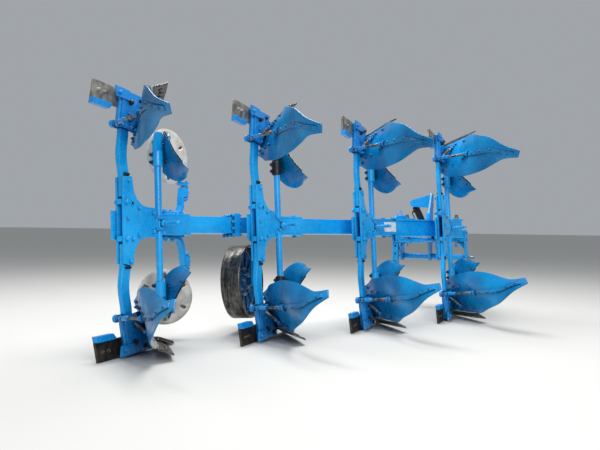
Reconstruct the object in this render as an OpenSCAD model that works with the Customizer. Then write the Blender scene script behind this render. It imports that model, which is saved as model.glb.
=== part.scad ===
// Mounted reversible plough with four pairs of bodies.
// Millimetres. +Y is forward, +X is right, +Z is up, and z = 0 is the ground.
// The frame is drawn about the turnover axis and then leaned as it is set for work.

/* [Frame] */
// Distance between two bodies along the beam
body_spacing = 1000; // [900:10:1100]
// Width of one furrow, across the direction of travel
furrow_w = 500; // [450:5:520]
// Clear height from the ground to the middle of the beam
axis_height = 843; // [820:1:900]
// Distance of the first body's leg to the right of the turnover axis
first_leg_x = 235; // [200:1:260]
// Lean of the frame to the left, set by the tilt spindles
frame_lean = 4; // [0:0.5:5]
// Side of the square beam
beam_side = 120; // [110:1:130]
// Wall of the beam's tube
beam_wall = 10; // [8:1:14]
// Distance across from the legs' line to the middle of the beam
beam_offset = 275; // [270:1:285]
// Beam that sticks out behind the last bracket
beam_tail = 190; // [150:1:230]
// Beam that sticks out before the first bracket
beam_nose = 80; // [60:1:85]
// Thickness of the cheek plates above and below the front beam
cheek_t = 16; // [10:1:18]
// Thickness of the bolted joint flanges in the beam
joint_t = 22; // [16:1:30]
// Place of the beam's joint behind the second bracket from the rear
joint_back = 520; // [400:5:580]

/* [Legs and brackets] */
// Width of a leg, seen from the side
leg_w = 82; // [74:1:86]
// Thickness of a leg
leg_t = 32; // [26:1:36]
// Backward bow of a leg between its clamp and its frog
leg_bow = 24; // [0:1:45]
// Distance from the beam's middle to a leg's inner end
leg_start = 145; // [140:1:170]
// Height of a leg's outer end over the sole
leg_end_h = 257; // [245:1:275]
// Thickness of a bracket's clamp plates
clamp_t = 15; // [12:1:18]
// Half height of the clamp plates at their front edge
clamp_half_h = 286; // [270:1:300]
// Half height of the clamp plates between the leg and the stem
clamp_neck_h = 99; // [95:1:110]
// Radius of the hollow in the clamp plates' front edge
clamp_arc = 150; // [140:1:160]
// Reach of the clamp plates before the leg's centre
clamp_reach = 297; // [285:1:305]
// Thickness of the console plates above and below the beam
console_t = 15; // [12:1:18]
// Diameter of the bracket's bolts
bolt_d = 24; // [20:1:28]

/* [Bodies] */
// Thickness of the moldboards
board_t = 8; // [6:1:10]
// Thickness of the frog plates
frog_t = 52; // [46:1:54]
// Offset of the frogs to the right of the legs' middle
frog_shift = 4; // [0:1:5]
// Thickness of the landsides
landside_t = 14; // [10:1:18]
// Length of the landside behind the leg's centre
landside_back = 245; // [220:1:270]
// Height of the landside plate
landside_h = 122; // [110:1:130]
// Height of the guard bar above the landside
guard_h = 37; // [30:1:50]
// Thickness of the shares
share_t = 12; // [10:1:15]
// Diameter of the moldboard stays
stay_d = 22; // [18:1:28]

/* [Skimmers] */
// Diameter of the skimmer stems
stem_d = 46; // [40:1:50]
// Distance of the stems behind the beam's rear face, along the direction of travel
stem_y = 57; // [52:1:62]
// Half length of the stems
stem_half = 500; // [450:5:520]
// Thickness of the skimmer boards
skimmer_t = 6; // [5:1:8]

/* [Disc coulters] */
// Diameter of the disc coulters
coulter_d = 400; // [370:5:420]
// Thickness of the discs
coulter_t = 5; // [4:1:6]
// Height of the disc axles from the beam's middle
coulter_z = 505; // [490:5:520]
// Trail of the discs behind their swivel
coulter_trail = 160; // [150:1:170]
// Swing of the lower disc to the left at rest
lower_yaw = 46; // [5:1:48]
// Swing of the upper disc to the left at rest
upper_yaw = 12; // [5:1:48]
// Diameter of the swivel pins
swivel_d = 36; // [30:1:40]

/* [Depth wheel] */
// Diameter of the depth wheel
wheel_d = 570; // [540:5:580]
// Width of the wheel's rim
wheel_w = 150; // [120:5:160]
// Length of the wheel's swing arm
wheel_arm = 423; // [415:1:430]
// Angle of the swing arm under the horizontal at rest
wheel_drop = 95; // [88:0.5:97]
// Turn of the wheel to the left, seen from above
wheel_toe = 7; // [0:0.5:8]
// Wall of the wheel's rim
rim_t = 14; // [10:1:18]
// Diameter of the wheel's stub axle
stub_d = 40; // [34:1:46]
// Diameter of the swing arm's pivot
arm_pivot_d = 50; // [44:1:56]

/* [Headstock] */
// Diameter of the turnover axle
axle_d = 100; // [90:1:110]
// Wall of the bearing housing
housing_wall = 38; // [30:1:45]
// Length of the bearing housing
housing_l = 250; // [220:5:270]
// Distance of the lower hitch pins before the middle of the beam, ahead of the first leg
hitch_y = 340; // [320:5:360]
// Depth of the lower hitch pins under the turnover axis
hitch_drop = 257; // [240:1:275]
// Height of the top link pin over the lower hitch pins
mast_height = 610; // [600:5:650]
// Distance between the outer ends of the lower hitch pins
hitch_span = 824; // [800:1:870]
// Diameter of the lower hitch pins
hitch_pin_d = 28; // [22:0.5:37]
// Diameter of the top link bores
top_bore_d = 25.7; // [19.5:0.1:32]
// Inside gap between the two mast plates
mast_gap = 62; // [52:1:75]
// Thickness of the mast plates
mast_t = 16; // [12:1:20]
// Distance between the outer faces of the two end plates
end_plate_span = 680; // [660:5:700]
// Thickness of the end plates
end_plate_t = 20; // [15:1:25]
// Diameter of the hitch cross tube
cross_tube_d = 60; // [50:1:70]
// Diameter of the tilt spindles
spindle_d = 30; // [24:1:36]

/* [Turnover cylinder] */
// Radius of the turnover crank
crank_r = 100; // [90:1:110]
// Outer diameter of the cylinder's barrel
barrel_d = 70; // [60:1:80]
// Diameter of the piston rod
rod_d = 32; // [25:1:40]
// Length of the barrel from its eye
barrel_l = 235; // [225:1:240]
// Diameter of the cylinder's pins
cyl_pin_d = 30; // [24:1:34]

/* [Parking stand] */
// Side of the stand's square leg
stand_side = 60; // [50:1:65]
// Wall of the stand's sleeve
sleeve_wall = 8; // [6:1:10]
// Side of the stand's foot plate
foot_side = 160; // [120:5:180]
// Thickness of the foot plate
foot_t = 12; // [10:1:16]

/* [Fits] */
// Radial running clearance of axles and pins
run_gap = 0.05; // [0.02:0.01:0.09]
// Clearance between plates that move past each other
side_gap = 6; // [5:0.5:8]
// Clearance around a sliding leg
slide_gap = 0.5; // [0.3:0.1:1]

/* [Hidden] */
$fn = 48;

// Angle of the beam to the direction of travel, and one body's step forward
beam_angle = asin(furrow_w / body_spacing);
step_y = body_spacing * cos(beam_angle);
// The nose goes down by the angle that keeps the leaned beam level
nose_down = atan(tan(beam_angle) * sin(frame_lean));
body_count = 4;
last_i = body_count - 1;
beam_half = beam_side / 2;
// Middle of the beam straight ahead of a leg
beam_y = beam_offset / sin(beam_angle);
// Places of the stems and of the lower hitch pins before the legs
stem_at = beam_y - beam_half / sin(beam_angle) - stem_y;
hitch_at = beam_y + hitch_y;
sole_z = -axis_height;
guard_top = landside_h + guard_h;
clamp_back = leg_w / 2 + 6;
// Left face of the frogs, where the landsides are bolted on
landside_x = frog_shift - frog_t / 2;

// Point of the frame after its lean and its nose-down angle
function leaned(p) = [
    p[0] * cos(frame_lean) - p[2] * sin(frame_lean),
    p[1] * cos(nose_down) + (p[0] * sin(frame_lean) + p[2] * cos(frame_lean)) * sin(nose_down),
    -p[1] * sin(nose_down) + (p[0] * sin(frame_lean) + p[2] * cos(frame_lean)) * cos(nose_down)
];
function station(i) = [first_leg_x - (last_i - i) * furrow_w, -(last_i - i) * step_y, 0];
// Each body is pitched back about its foot, so that its sole is level on the ground
function soled(p) = [
    p[0],
    p[1] * cos(nose_down) - (p[2] - sole_z) * sin(nose_down),
    sole_z + p[1] * sin(nose_down) + (p[2] - sole_z) * cos(nose_down)
];
heel = leaned(station(0) + soled([landside_x - landside_t, -landside_back, sole_z]));
ground_h = -heel[2];
// Where the turnover axis crosses the first leg's line, from the middle of the whole plough
origin_x = last_i * furrow_w / 2 - first_leg_x - 261;
origin_y = last_i * step_y / 2 - 211;

module machine() {
    translate([origin_x, origin_y, ground_h]) rotate([-nose_down, 0, 0]) children();
}

module frame() {
    machine() rotate([0, -frame_lean, 0]) children();
}

module at_station(i) {
    frame() translate(station(i)) children();
}

// A body's own things, once below and once above the beam
module body_pair(i) {
    at_station(i) {
        body_place() children();
        mirror([0, 0, 1]) body_place() children();
    }
}

module body_place() {
    translate([0, 0, sole_z]) rotate([nose_down, 0, 0]) children();
}

// Along the beam: x is forward along it, y is to its left
module along_beam(s) {
    translate([s[0], s[1], 0]) rotate([0, 0, 90 - beam_angle]) children();
}

// Plate in the plane of travel: the outline gives forward and up, centred on x
module side_plate(outline, t, x = 0) {
    translate([x - t / 2, 0, 0]) rotate([90, 0, 90]) linear_extrude(t) polygon(outline);
}

module x_cylinder(r, l) {
    rotate([0, 90, 0]) cylinder(r = r, h = l);
}

module y_cylinder(r, l) {
    rotate([-90, 0, 0]) cylinder(r = r, h = l);
}

// Beam
module beam_piece(s0, s1) {
    frame() translate(station(last_i)) along_beam([0, beam_y]) difference() {
        translate([s0, -beam_half, -beam_half]) cube([s1 - s0, beam_side, beam_side]);
        translate([s0 - 1, -beam_half + beam_wall, -beam_half + beam_wall])
            cube([s1 - s0 + 2, beam_side - 2 * beam_wall, beam_side - 2 * beam_wall]);
    }
}

joint_s = -(last_i - 1) * body_spacing - joint_back;
beam_start = -last_i * body_spacing - beam_tail;

module rear_beam() {
    color("#2593e3") beam_piece(beam_start, joint_s - joint_t);
}

module front_beam() {
    color("#2593e3") beam_piece(joint_s + joint_t, beam_nose);
}

joint_side = beam_side + 50;
module beam_joint() {
    color("#1f86d2") frame() translate(station(last_i)) along_beam([0, beam_y]) {
        for (k = [-1, 0])
            translate([joint_s + k * joint_t, -joint_side / 2, -joint_side / 2])
                cube([joint_t, joint_side, joint_side]);
        for (u = [-1, 1], v = [-1, 1])
            translate([joint_s - joint_t - 14, u * (joint_side / 2 - 13), v * (joint_side / 2 - 13)])
                rotate([0, 90, 0]) cylinder(d = bolt_d * 0.8, h = 2 * joint_t + 28);
    }
}

// Cheek plates over and under the front beam, tied to the axle carrier
cheek_back = 760;
carrier_half = beam_half;
// Distance before the first leg of the carrier's front face
carrier_y = beam_y + 140;
function left_face_y(x) = beam_y + (x - first_leg_x) / tan(beam_angle) + beam_half / sin(beam_angle);

module cheek_outline() {
    translate([first_leg_x, 0]) along_beam([0, beam_y])
        translate([-cheek_back, -beam_half]) square([cheek_back + beam_nose, beam_side]);
    polygon([
        [-carrier_half, left_face_y(-carrier_half) - beam_half],
        [-carrier_half, carrier_y - 8],
        [carrier_half, carrier_y - 8],
        [first_leg_x - 40, left_face_y(first_leg_x - 40) - beam_half]
    ]);
}

module cheek_plates() {
    color("#2593e3") frame() for (s = [0, 1]) mirror([0, 0, s])
        translate([0, 0, beam_half]) linear_extrude(cheek_t) cheek_outline();
}

module axle_carrier() {
    color("#1f86d2") frame() translate([0, 0, -carrier_half]) linear_extrude(2 * carrier_half)
        polygon([
            [-carrier_half, left_face_y(-carrier_half)],
            [-carrier_half, carrier_y],
            [carrier_half, carrier_y],
            [carrier_half, left_face_y(carrier_half)]
        ]);
}

// Turnover axle with its crank at the front
housing_y = carrier_y + 20;
crank_t = 22;
crank_y = housing_y + housing_l + side_gap;
eye_w = 38;
eye_y = crank_y + crank_t + side_gap + eye_w / 2;
anchor_plate_t = 16;
anchor = [-250, 300];
anchor_len = norm(anchor);
turn_range = 180 + 2 * frame_lean;
// The crank points away from the cylinder's anchor by half the turn, to the left and down
anchor_dir = atan2(anchor[0], anchor[1]);
crank_dir = anchor_dir - turn_range / 2;
crank_pin = [crank_r * sin(crank_dir), crank_r * cos(crank_dir)];

module turnover_axle() {
    color("#9a9da0") frame() {
        translate([0, carrier_y, 0]) y_cylinder(axle_d / 2, crank_y + crank_t - carrier_y);
        translate([0, crank_y, 0]) rotate([0, crank_dir + frame_lean, 0]) {
            y_cylinder(axle_d / 2 + 14, crank_t);
            translate([-30, 0, 0]) cube([60, crank_t, crank_r]);
            translate([0, 0, crank_r]) y_cylinder(30, crank_t);
        }
    }
}

// Brackets: two clamp plates on the leg, tied to the console plates on the beam
console_front = 105;
console_back = 150;

clamp_outline = let (
    half = [
        [-clamp_back, clamp_half_h - 14],
        [leg_w / 2 + 3, clamp_half_h],
        for (a = [0:15:90])
            [leg_w / 2 + 10 + clamp_arc * (1 - cos(a)), clamp_neck_h + clamp_arc * (1 - sin(a))],
        [clamp_reach, clamp_neck_h]
    ],
    n = len(half)
) concat(half, [for (k = [n - 1:-1:0]) [half[k][0], -half[k][1]]]);

module console_outline() {
    polygon([
        [-leg_t / 2 - clamp_t, leg_w],
        [leg_t / 2 + clamp_t, leg_w],
        [leg_t / 2 + clamp_t, clamp_reach],
        [-stem_d / 2 - 6, stem_at - 58],
        [-stem_d / 2 - 6, stem_at + 17],
        [0, stem_at + stem_y - 2],
        [console_front * sin(beam_angle) + beam_half * cos(beam_angle),
            beam_y + console_front * cos(beam_angle) - beam_half * sin(beam_angle)],
        [console_front * sin(beam_angle) - beam_half * cos(beam_angle),
            beam_y + console_front * cos(beam_angle) + beam_half * sin(beam_angle)],
        [-console_back * sin(beam_angle) - beam_half * cos(beam_angle),
            beam_y - console_back * cos(beam_angle) + beam_half * sin(beam_angle)],
        [-console_back * sin(beam_angle) - beam_half * cos(beam_angle) + 20, clamp_reach + 70]
    ]);
}

module console_bolts(z) {
    for (s = [-console_back + 40, console_front - 40])
        translate([s * sin(beam_angle), beam_y + s * cos(beam_angle), z + console_t])
            cylinder(d = bolt_d * 1.6, h = 15, $fn = 6);
}

module bracket(i) {
    console_z = beam_half + (i == last_i ? cheek_t : 0);
    color("#2593e3") at_station(i) {
        for (s = [-1, 1]) side_plate(clamp_outline, clamp_t, s * (leg_t + clamp_t) / 2);
        for (m = [0, 1]) mirror([0, 0, m]) {
            translate([0, 0, console_z]) linear_extrude(console_t) console_outline();
            console_bolts(console_z);
            translate([-leg_t / 2, -clamp_back, 100]) cube([leg_t, 26, 30]);
        }
        translate([-leg_t / 2, clamp_reach - 30, -console_z - 1]) cube([leg_t, 20, 2 * console_z + 2]);
    }
}

// Legs
leg_end = axis_height - leg_end_h;
leg_bend_h = clamp_half_h - 40;
leg_steps = 8;
function leg_offset(z) = -leg_bow * (1 - cos(360 * (z - leg_bend_h) / (leg_end - leg_bend_h))) / 2;

module leg_bar() {
    bend = [for (k = [0:leg_steps]) leg_bend_h + (leg_end - leg_bend_h) * k / leg_steps];
    side_plate([
        [leg_w / 2, leg_start],
        for (z = bend) [leg_w / 2 + leg_offset(z), z],
        for (k = [leg_steps:-1:0]) [-leg_w / 2 + leg_offset(bend[k]), bend[k]],
        [-leg_w / 2, leg_start]
    ], leg_t);
}

module legs(i) {
    color("#2a9bee") at_station(i) for (m = [0, 1]) mirror([0, 0, m]) leg_bar();
}

// Frogs: the foot castings, with a heel plate at the right and a lug for the long stay behind
frog_outline = [
    [-clamp_back, leg_end_h - 2], [leg_w / 2 + 6, leg_end_h - 2],
    [92, 218], [152, 131], [222, 27], [225, 12],
    [-22, 12], [-20, 75]
];
heel_plate_t = 12;
heel_plate_outline = [[-111, 12], [-97, 78], [30, 78], [30, 12]];
lug_w = 18;
lug_outline = [[-76, 228], [-76, 252], [-40, 252], [-36, 228]];

// Thin web at the frog's left side, which the share and the moldboard are bolted to
frog_web_t = 10;
frog_web_outline = [
    [0, 250], [60, 250], [158, 262], [169, 250], [212, 196],
    [259, 129], [303, 66], [322, 32], [200, 12], [0, 12]
];

module frogs() {
    color("#1a6fb0") for (i = [0:last_i]) body_pair(i) {
        side_plate(frog_outline, frog_t, frog_shift);
        side_plate(frog_web_outline, frog_web_t, landside_x + frog_web_t / 2);
        side_plate(heel_plate_outline, heel_plate_t, frog_shift + frog_t / 2 + heel_plate_t / 2);
        side_plate(lug_outline, lug_w, landside_x + lug_w / 2);
    }
}

// Landsides, with a guard bar on top
landside_front = 225;
landside_slant = 22;
module landsides() {
    color("#35332f") for (i = [0:last_i]) body_pair(i) side_plate([
        [-landside_back, 0], [-landside_back - landside_slant, landside_h],
        [landside_front, landside_h], [landside_front, 0]
    ], landside_t, landside_x - landside_t / 2);
}

guard_w = 36;
module guard_bars() {
    color("#2593e3") for (i = [0:last_i]) body_pair(i) side_plate([
        [-landside_back - landside_slant, landside_h], [-landside_back - 32, guard_top],
        [-landside_back + 125, guard_top],
        [-95, landside_h + 10], [-95, landside_h]
    ], guard_w, landside_x - landside_t + guard_w / 2);
}

// Sheet between two grids of points, one the other moved by a vector
module sheet(rows, shift) {
    n = len(rows);
    m = len(rows[0]);
    pts = [for (k = [0, 1], r = rows, p = r) p + k * shift];
    function at(k, r, c) = k * n * m + r * m + c;
    faces = [
        for (r = [0:n - 2], c = [0:m - 2]) each [
            [at(0, r, c), at(0, r + 1, c), at(0, r + 1, c + 1)],
            [at(0, r, c), at(0, r + 1, c + 1), at(0, r, c + 1)],
            [at(1, r, c), at(1, r + 1, c + 1), at(1, r + 1, c)],
            [at(1, r, c), at(1, r, c + 1), at(1, r + 1, c + 1)]
        ],
        for (r = [0:n - 2]) each [
            [at(0, r, 0), at(1, r + 1, 0), at(0, r + 1, 0)],
            [at(0, r, 0), at(1, r, 0), at(1, r + 1, 0)],
            [at(0, r, m - 1), at(0, r + 1, m - 1), at(1, r + 1, m - 1)],
            [at(0, r, m - 1), at(1, r + 1, m - 1), at(1, r, m - 1)]
        ],
        for (c = [0:m - 2]) each [
            [at(0, 0, c), at(0, 0, c + 1), at(1, 0, c + 1)],
            [at(0, 0, c), at(1, 0, c + 1), at(1, 0, c)],
            [at(0, n - 1, c), at(1, n - 1, c + 1), at(0, n - 1, c + 1)],
            [at(0, n - 1, c), at(1, n - 1, c), at(1, n - 1, c + 1)]
        ]
    ];
    polyhedron(points = pts, faces = faces);
}

// Moldboard sections, from the shin to the tail: x, y and height of the lower edge,
// x, y and height of the upper edge, and how far the middle is hollowed
board_sections = [
    [[-28, 322, 62], [-26, 136, 329], 10],
    [[30, 262, 64], [30, 92, 360], 20],
    [[80, 200, 63], [78, 36, 393], 29],
    [[154, 104, 64], [148, -38, 412], 36],
    [[244, -16, 67], [246, -142, 434], 40],
    [[328, -166, 77], [346, -240, 436], 38],
    [[412, -330, 130], [442, -312, 422], 28],
    [[522, -462, 190], [538, -390, 394], 18],
    [[636, -548, 286], [618, -466, 378], 8],
    [[752, -598, 350], [733, -545, 392], 0]
];
board_rows_n = 6;
board_back = [-0.68, -0.68, 0.27];

function board_point(s, v) =
    s[0] * (1 - v) + s[1] * v + s[2] * 4 * v * (1 - v) * board_back;

module moldboards(i) {
    rows = [for (s = board_sections) [for (k = [0:board_rows_n]) board_point(s, k / board_rows_n)]];
    color("#1b74b6") body_pair(i) sheet(rows, board_t * board_back);
}

// Shares: a blade under the moldboard and a point at its front
// Cutting edge and upper edge of the top face, each x, y and height over the blade's underside
share_sections = [
    [[-36, 470, 0], [-34, 328, 48]],
    [[90, 325, 1], [80, 202, 50]],
    [[230, 150, 3], [200, 46, 51]],
    [[345, 0, 8], [305, -108, 58]]
];

module shares(i) {
    rows = [for (s = share_sections) [for (k = [0:2]) s[0] * (1 - k / 2) + s[1] * k / 2]];
    color("#57544f") body_pair(i) translate([0, 0, share_t]) sheet(rows, [0, 0, -share_t]);
}

// Stays between the frogs and the moldboards
module stay(a, b) {
    d = b - a;
    translate(a) rotate([0, acos(d[2] / norm(d)), atan2(d[1], d[0])]) cylinder(d = stay_d, h = norm(d));
}

stay_gap = 1;
stay_height = 240;
module board_stays() {
    color("#1b74b6") for (i = [0:last_i]) body_pair(i) {
        stay(
            [landside_x + lug_w, -62, stay_height],
            board_point(board_sections[5], 0.47) + (board_t + stay_gap) * board_back
        );
        stay([frog_shift + frog_t / 2, 40, 205],
            board_point(board_sections[3], 0.12) + (board_t + stay_gap) * board_back);
    }
}

// Skimmers: a round stem with a small plough body at each end
module skimmer_stems() {
    color("#2a9bee") for (i = [0:last_i]) at_station(i)
        translate([0, stem_at, -stem_half]) cylinder(d = stem_d, h = 2 * stem_half);
}

clamp_block_h = 90;
handle_l = 120;
module stem_clamps() {
    color("#2593e3") for (i = [0:last_i]) at_station(i) {
        difference() {
            translate([0, 0, -clamp_block_h / 2]) linear_extrude(clamp_block_h) polygon([
                [-26, clamp_reach], [26, clamp_reach], [26, stem_at + stem_d / 2 + 8],
                [-4, stem_at + stem_d / 2 + 8], [-26, stem_at + stem_d / 2 - 16]
            ]);
            translate([0, stem_at, -clamp_block_h]) cylinder(d = stem_d, h = 2 * clamp_block_h);
        }
        translate([26, stem_at + 4, 0]) x_cylinder(13, handle_l);
    }
}

// Rows of points from the stem's middle and its end
skimmer_sections = [
    [[8, 74, -146], [8, 56, 142], 2],
    [[74, 22, -80], [51, 80, 186], 10],
    [[146, -28, 12], [112, 92, 210], 16],
    [[228, -58, 100], [166, 82, 198], 12],
    [[286, -64, 160], [215, 44, 168], 0]
];

// Sockets that clamp the skimmers on the stems, each with the bar that its board is bolted to
socket_h = 112;
holder_w = 30;
// Outline of the bar, forward and outward from the stem's end
holder_outline = [
    [-stem_d / 2 - 8, 0], [-stem_d / 2 - 8, 40], [-4, 135], [58, 135],
    [58, -90], [stem_d / 2, -90], [stem_d / 2, 0]
];
module skimmer_sockets() {
    color("#2b2d2f") for (i = [0:last_i]) at_station(i) for (m = [0, 1]) mirror([0, 0, m]) {
        difference() {
            translate([-stem_d / 2 - 8, stem_at - stem_d / 2 - 8, stem_half - socket_h])
                cube([stem_d + 16, stem_d + 14, socket_h]);
            translate([0, stem_at, stem_half - 2 * socket_h]) cylinder(d = stem_d, h = 3 * socket_h);
        }
        translate([0, stem_at, stem_half]) side_plate(holder_outline, holder_w, -4);
    }
}

module skimmer_boards() {
    color("#1f86d2") for (i = [0:last_i]) at_station(i) for (m = [0, 1]) mirror([0, 0, m])
        translate([0, stem_at, -stem_half])
            sheet(
                [for (s = skimmer_sections) [for (k = [0:4]) board_point(s, k / 4)]],
                skimmer_t * [-0.6, -0.75, 0.1]
            );
}

// Disc coulters at the rear body
swivel = [-42, beam_y + 220];
arm_t = 22;
arm_w = 46;
swivel_z = 255;
tube_h = 80;
tube_wall = 12;
arm_z = beam_half + console_t;
// Outline of an arm: along the top of the beam, then bent out to the swivel
tube_low = swivel_z - tube_h / 2;
arm_outline = [
    [beam_y - 70, arm_z], [swivel[1] - 110, arm_z],
    [swivel[1] - 70, arm_z + 18], [swivel[1] - 44, arm_z + 62],
    [swivel[1] - 36, tube_low - 14], [swivel[1] - 36, tube_low + 3],
    [swivel[1] - swivel_d / 2 - 5, tube_low + 3], [swivel[1] - swivel_d / 2 - 5, swivel_z + 30],
    [swivel[1] - 48, swivel_z + 30], [swivel[1] - 62, tube_low],
    [swivel[1] - 70, arm_z + arm_t + 58], [swivel[1] - 92, arm_z + arm_t + 20],
    [swivel[1] - 122, arm_z + arm_t], [beam_y - 70, arm_z + arm_t]
];
module coulter_arms() {
    color("#2593e3") at_station(0) for (m = [0, 1]) mirror([0, 0, m]) {
        side_plate(arm_outline, arm_w, swivel[0]);
        difference() {
            translate([swivel[0], swivel[1], tube_low]) cylinder(d = swivel_d + 2 * tube_wall, h = tube_h);
            translate([swivel[0], swivel[1], tube_low - 1]) cylinder(d = swivel_d + 2 * run_gap, h = tube_h + 2);
        }
    }
}

// The fork hangs on its swivel pin and trails back to the hub
fork_x = 45;
hub_bore_d = 30;
module fork() {
    translate([0, 0, tube_low - side_gap - 14]) cylinder(d = swivel_d, h = tube_h + side_gap + 40);
    translate([0, 0, tube_low - side_gap - 14]) cylinder(d = swivel_d + 20, h = 14);
    translate([0, 0, swivel_z + tube_h / 2 + side_gap]) cylinder(d = swivel_d + 20, h = 14);
    translate([-fork_x - 6, -25, swivel_z + tube_h / 2 + side_gap + 14]) cube([fork_x + 31, 50, 14]);
    side_plate([
        [-25, swivel_z + tube_h / 2 + side_gap + 28], [25, swivel_z + tube_h / 2 + side_gap + 28],
        [-coulter_trail + 28, coulter_z + 10], [-coulter_trail + 10, coulter_z + 28],
        [-coulter_trail - 28, coulter_z + 28], [-coulter_trail - 28, coulter_z - 20]
    ], 12, -fork_x);
    translate([-fork_x, -coulter_trail, coulter_z]) x_cylinder(hub_bore_d / 2, fork_x + 40);
    translate([31, -coulter_trail, coulter_z]) x_cylinder(hub_bore_d / 2 + 8, 9);
}

module disc() {
    difference() {
        translate([-coulter_t / 2, -coulter_trail, coulter_z])
            x_cylinder(coulter_d / 2, coulter_t, $fn = 96);
        translate([-50, -coulter_trail, coulter_z]) x_cylinder(hub_bore_d / 2 + run_gap, 100);
    }
    difference() {
        translate([-25, -coulter_trail, coulter_z]) x_cylinder(38, 50);
        translate([-50, -coulter_trail, coulter_z]) x_cylinder(hub_bore_d / 2 + run_gap, 100);
    }
}

module at_swivel(yaw) {
    at_station(0) translate([swivel[0], swivel[1], 0]) rotate([0, 0, -yaw]) children();
}

module lower_fork() {
    color("#1f86d2") at_swivel(lower_yaw) mirror([0, 0, 1]) fork();
}

module upper_fork() {
    color("#1f86d2") at_swivel(upper_yaw) fork();
}

module lower_disc() {
    color("#b9b7b2") at_swivel(lower_yaw) mirror([0, 0, 1]) disc();
}

module upper_disc() {
    color("#b9b7b2") at_swivel(upper_yaw) disc();
}

// Depth wheel at the second body from the rear, left of its swing arm
function left_face_x(y) = (y - beam_y) * tan(beam_angle) - beam_half / cos(beam_angle);
pivot_y = 400;
pivot_half = 60;
wheel_pivot = [left_face_x(pivot_y - pivot_half) - 7, pivot_y];
arm_thick = 22;
wheel_gap = 16;
wheel_x = wheel_pivot[0] - side_gap - arm_thick - wheel_gap - wheel_w / 2;
module at_wheel_pivot() {
    at_station(1) translate([wheel_pivot[0], wheel_pivot[1], 0]) children();
}

module at_wheel() {
    at_wheel_pivot() translate([wheel_x - wheel_pivot[0], 0, 0])
        translate([0, wheel_arm * cos(wheel_drop), -wheel_arm * sin(wheel_drop)])
            rotate([0, 0, wheel_toe]) children();
}

module wheel_bracket() {
    color("#1f86d2") at_station(1) {
        translate([0, 0, -45]) linear_extrude(90) polygon([
            [wheel_pivot[0], wheel_pivot[1] - pivot_half],
            [wheel_pivot[0], wheel_pivot[1] + pivot_half],
            [left_face_x(wheel_pivot[1] + pivot_half), wheel_pivot[1] + pivot_half],
            [left_face_x(wheel_pivot[1] - pivot_half), wheel_pivot[1] - pivot_half]
        ]);
        translate([wheel_pivot[0] - arm_thick - side_gap - 12, wheel_pivot[1], 0])
            x_cylinder(arm_pivot_d / 2, arm_thick + side_gap + 12);
    }
}

module wheel_swing_arm() {
    color("#2593e3") {
        at_wheel_pivot() translate([-side_gap - arm_thick, 0, 0]) rotate([-wheel_drop, 0, 0]) difference() {
            union() {
                x_cylinder(arm_pivot_d / 2 + 22, arm_thick);
                translate([0, 0, -42]) cube([arm_thick, wheel_arm, 84]);
                translate([0, wheel_arm, 0]) x_cylinder(42, arm_thick);
            }
            translate([-arm_thick, 0, 0]) x_cylinder(arm_pivot_d / 2 + run_gap, 3 * arm_thick);
        }
        at_wheel() translate([-62, 0, 0])
            x_cylinder(stub_d / 2, 62 + wheel_w / 2 + wheel_gap + arm_thick / 2);
    }
}

module wheel_rim() {
    color("#3c3f42") at_wheel() difference() {
        translate([-wheel_w / 2, 0, 0]) x_cylinder(wheel_d / 2, wheel_w, $fn = 96);
        translate([-wheel_w, 0, 0]) x_cylinder(wheel_d / 2 - rim_t, 2 * wheel_w, $fn = 96);
    }
}

web_t = 8;
hub_d = 110;
module wheel_disc() {
    color("#1f86d2") at_wheel() difference() {
        union() {
            translate([-web_t / 2, 0, 0]) x_cylinder(wheel_d / 2 - rim_t, web_t, $fn = 96);
            translate([-50, 0, 0]) x_cylinder(hub_d / 2, 100);
        }
        translate([-wheel_w, 0, 0]) x_cylinder(stub_d / 2 + run_gap, 2 * wheel_w);
    }
}

// Headstock: the housing, the mast and the hitch frame
mast_front = hitch_at + 55;
mast_back = housing_y + 20;
top_z = mast_height - hitch_drop;
bore_pitch = 75;
module headstock() {
    color("#1f86d2") machine() difference() {
        union() {
            translate([0, housing_y, 0]) y_cylinder(axle_d / 2 + housing_wall, housing_l);
            for (s = [-1, 1])
                side_plate([
                    [mast_back, -100], [hitch_at - 45, -hitch_drop - 45], [mast_front, -hitch_drop - 45],
                    [mast_front, top_z + 45], [mast_front - 80, top_z + 45], [mast_back, 140]
                ], mast_t, s * (mast_gap + mast_t) / 2);
            translate([0, mast_front, 0]) rotate([90, 0, 0]) mirror([0, 0, 1])
                linear_extrude(anchor_plate_t)
                polygon([
                    [-mast_gap / 2, top_z + 45], [-mast_gap / 2, top_z - 105],
                    [anchor[0] - 10, anchor[1] - 36],
                    [anchor[0] - 36, anchor[1]], [anchor[0] - 10, anchor[1] + 36]
                ]);
            translate([anchor[0], mast_front, anchor[1]])
                y_cylinder(cyl_pin_d / 2 + 9, eye_y - eye_w / 2 - 1 - mast_front);
            translate([anchor[0], mast_front, anchor[1]])
                y_cylinder(cyl_pin_d / 2, eye_y + eye_w / 2 + 12 - mast_front);
        }
        translate([0, housing_y - 1, 0]) y_cylinder(axle_d / 2 + run_gap, housing_l + 2);
        for (k = [0, 1])
            translate([-mast_gap, mast_front - 38, top_z - k * bore_pitch])
                x_cylinder(top_bore_d / 2, 2 * mast_gap);
        translate([-mast_gap, hitch_at, -hitch_drop]) x_cylinder(cross_tube_d / 2, 2 * mast_gap);
    }
}

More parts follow.
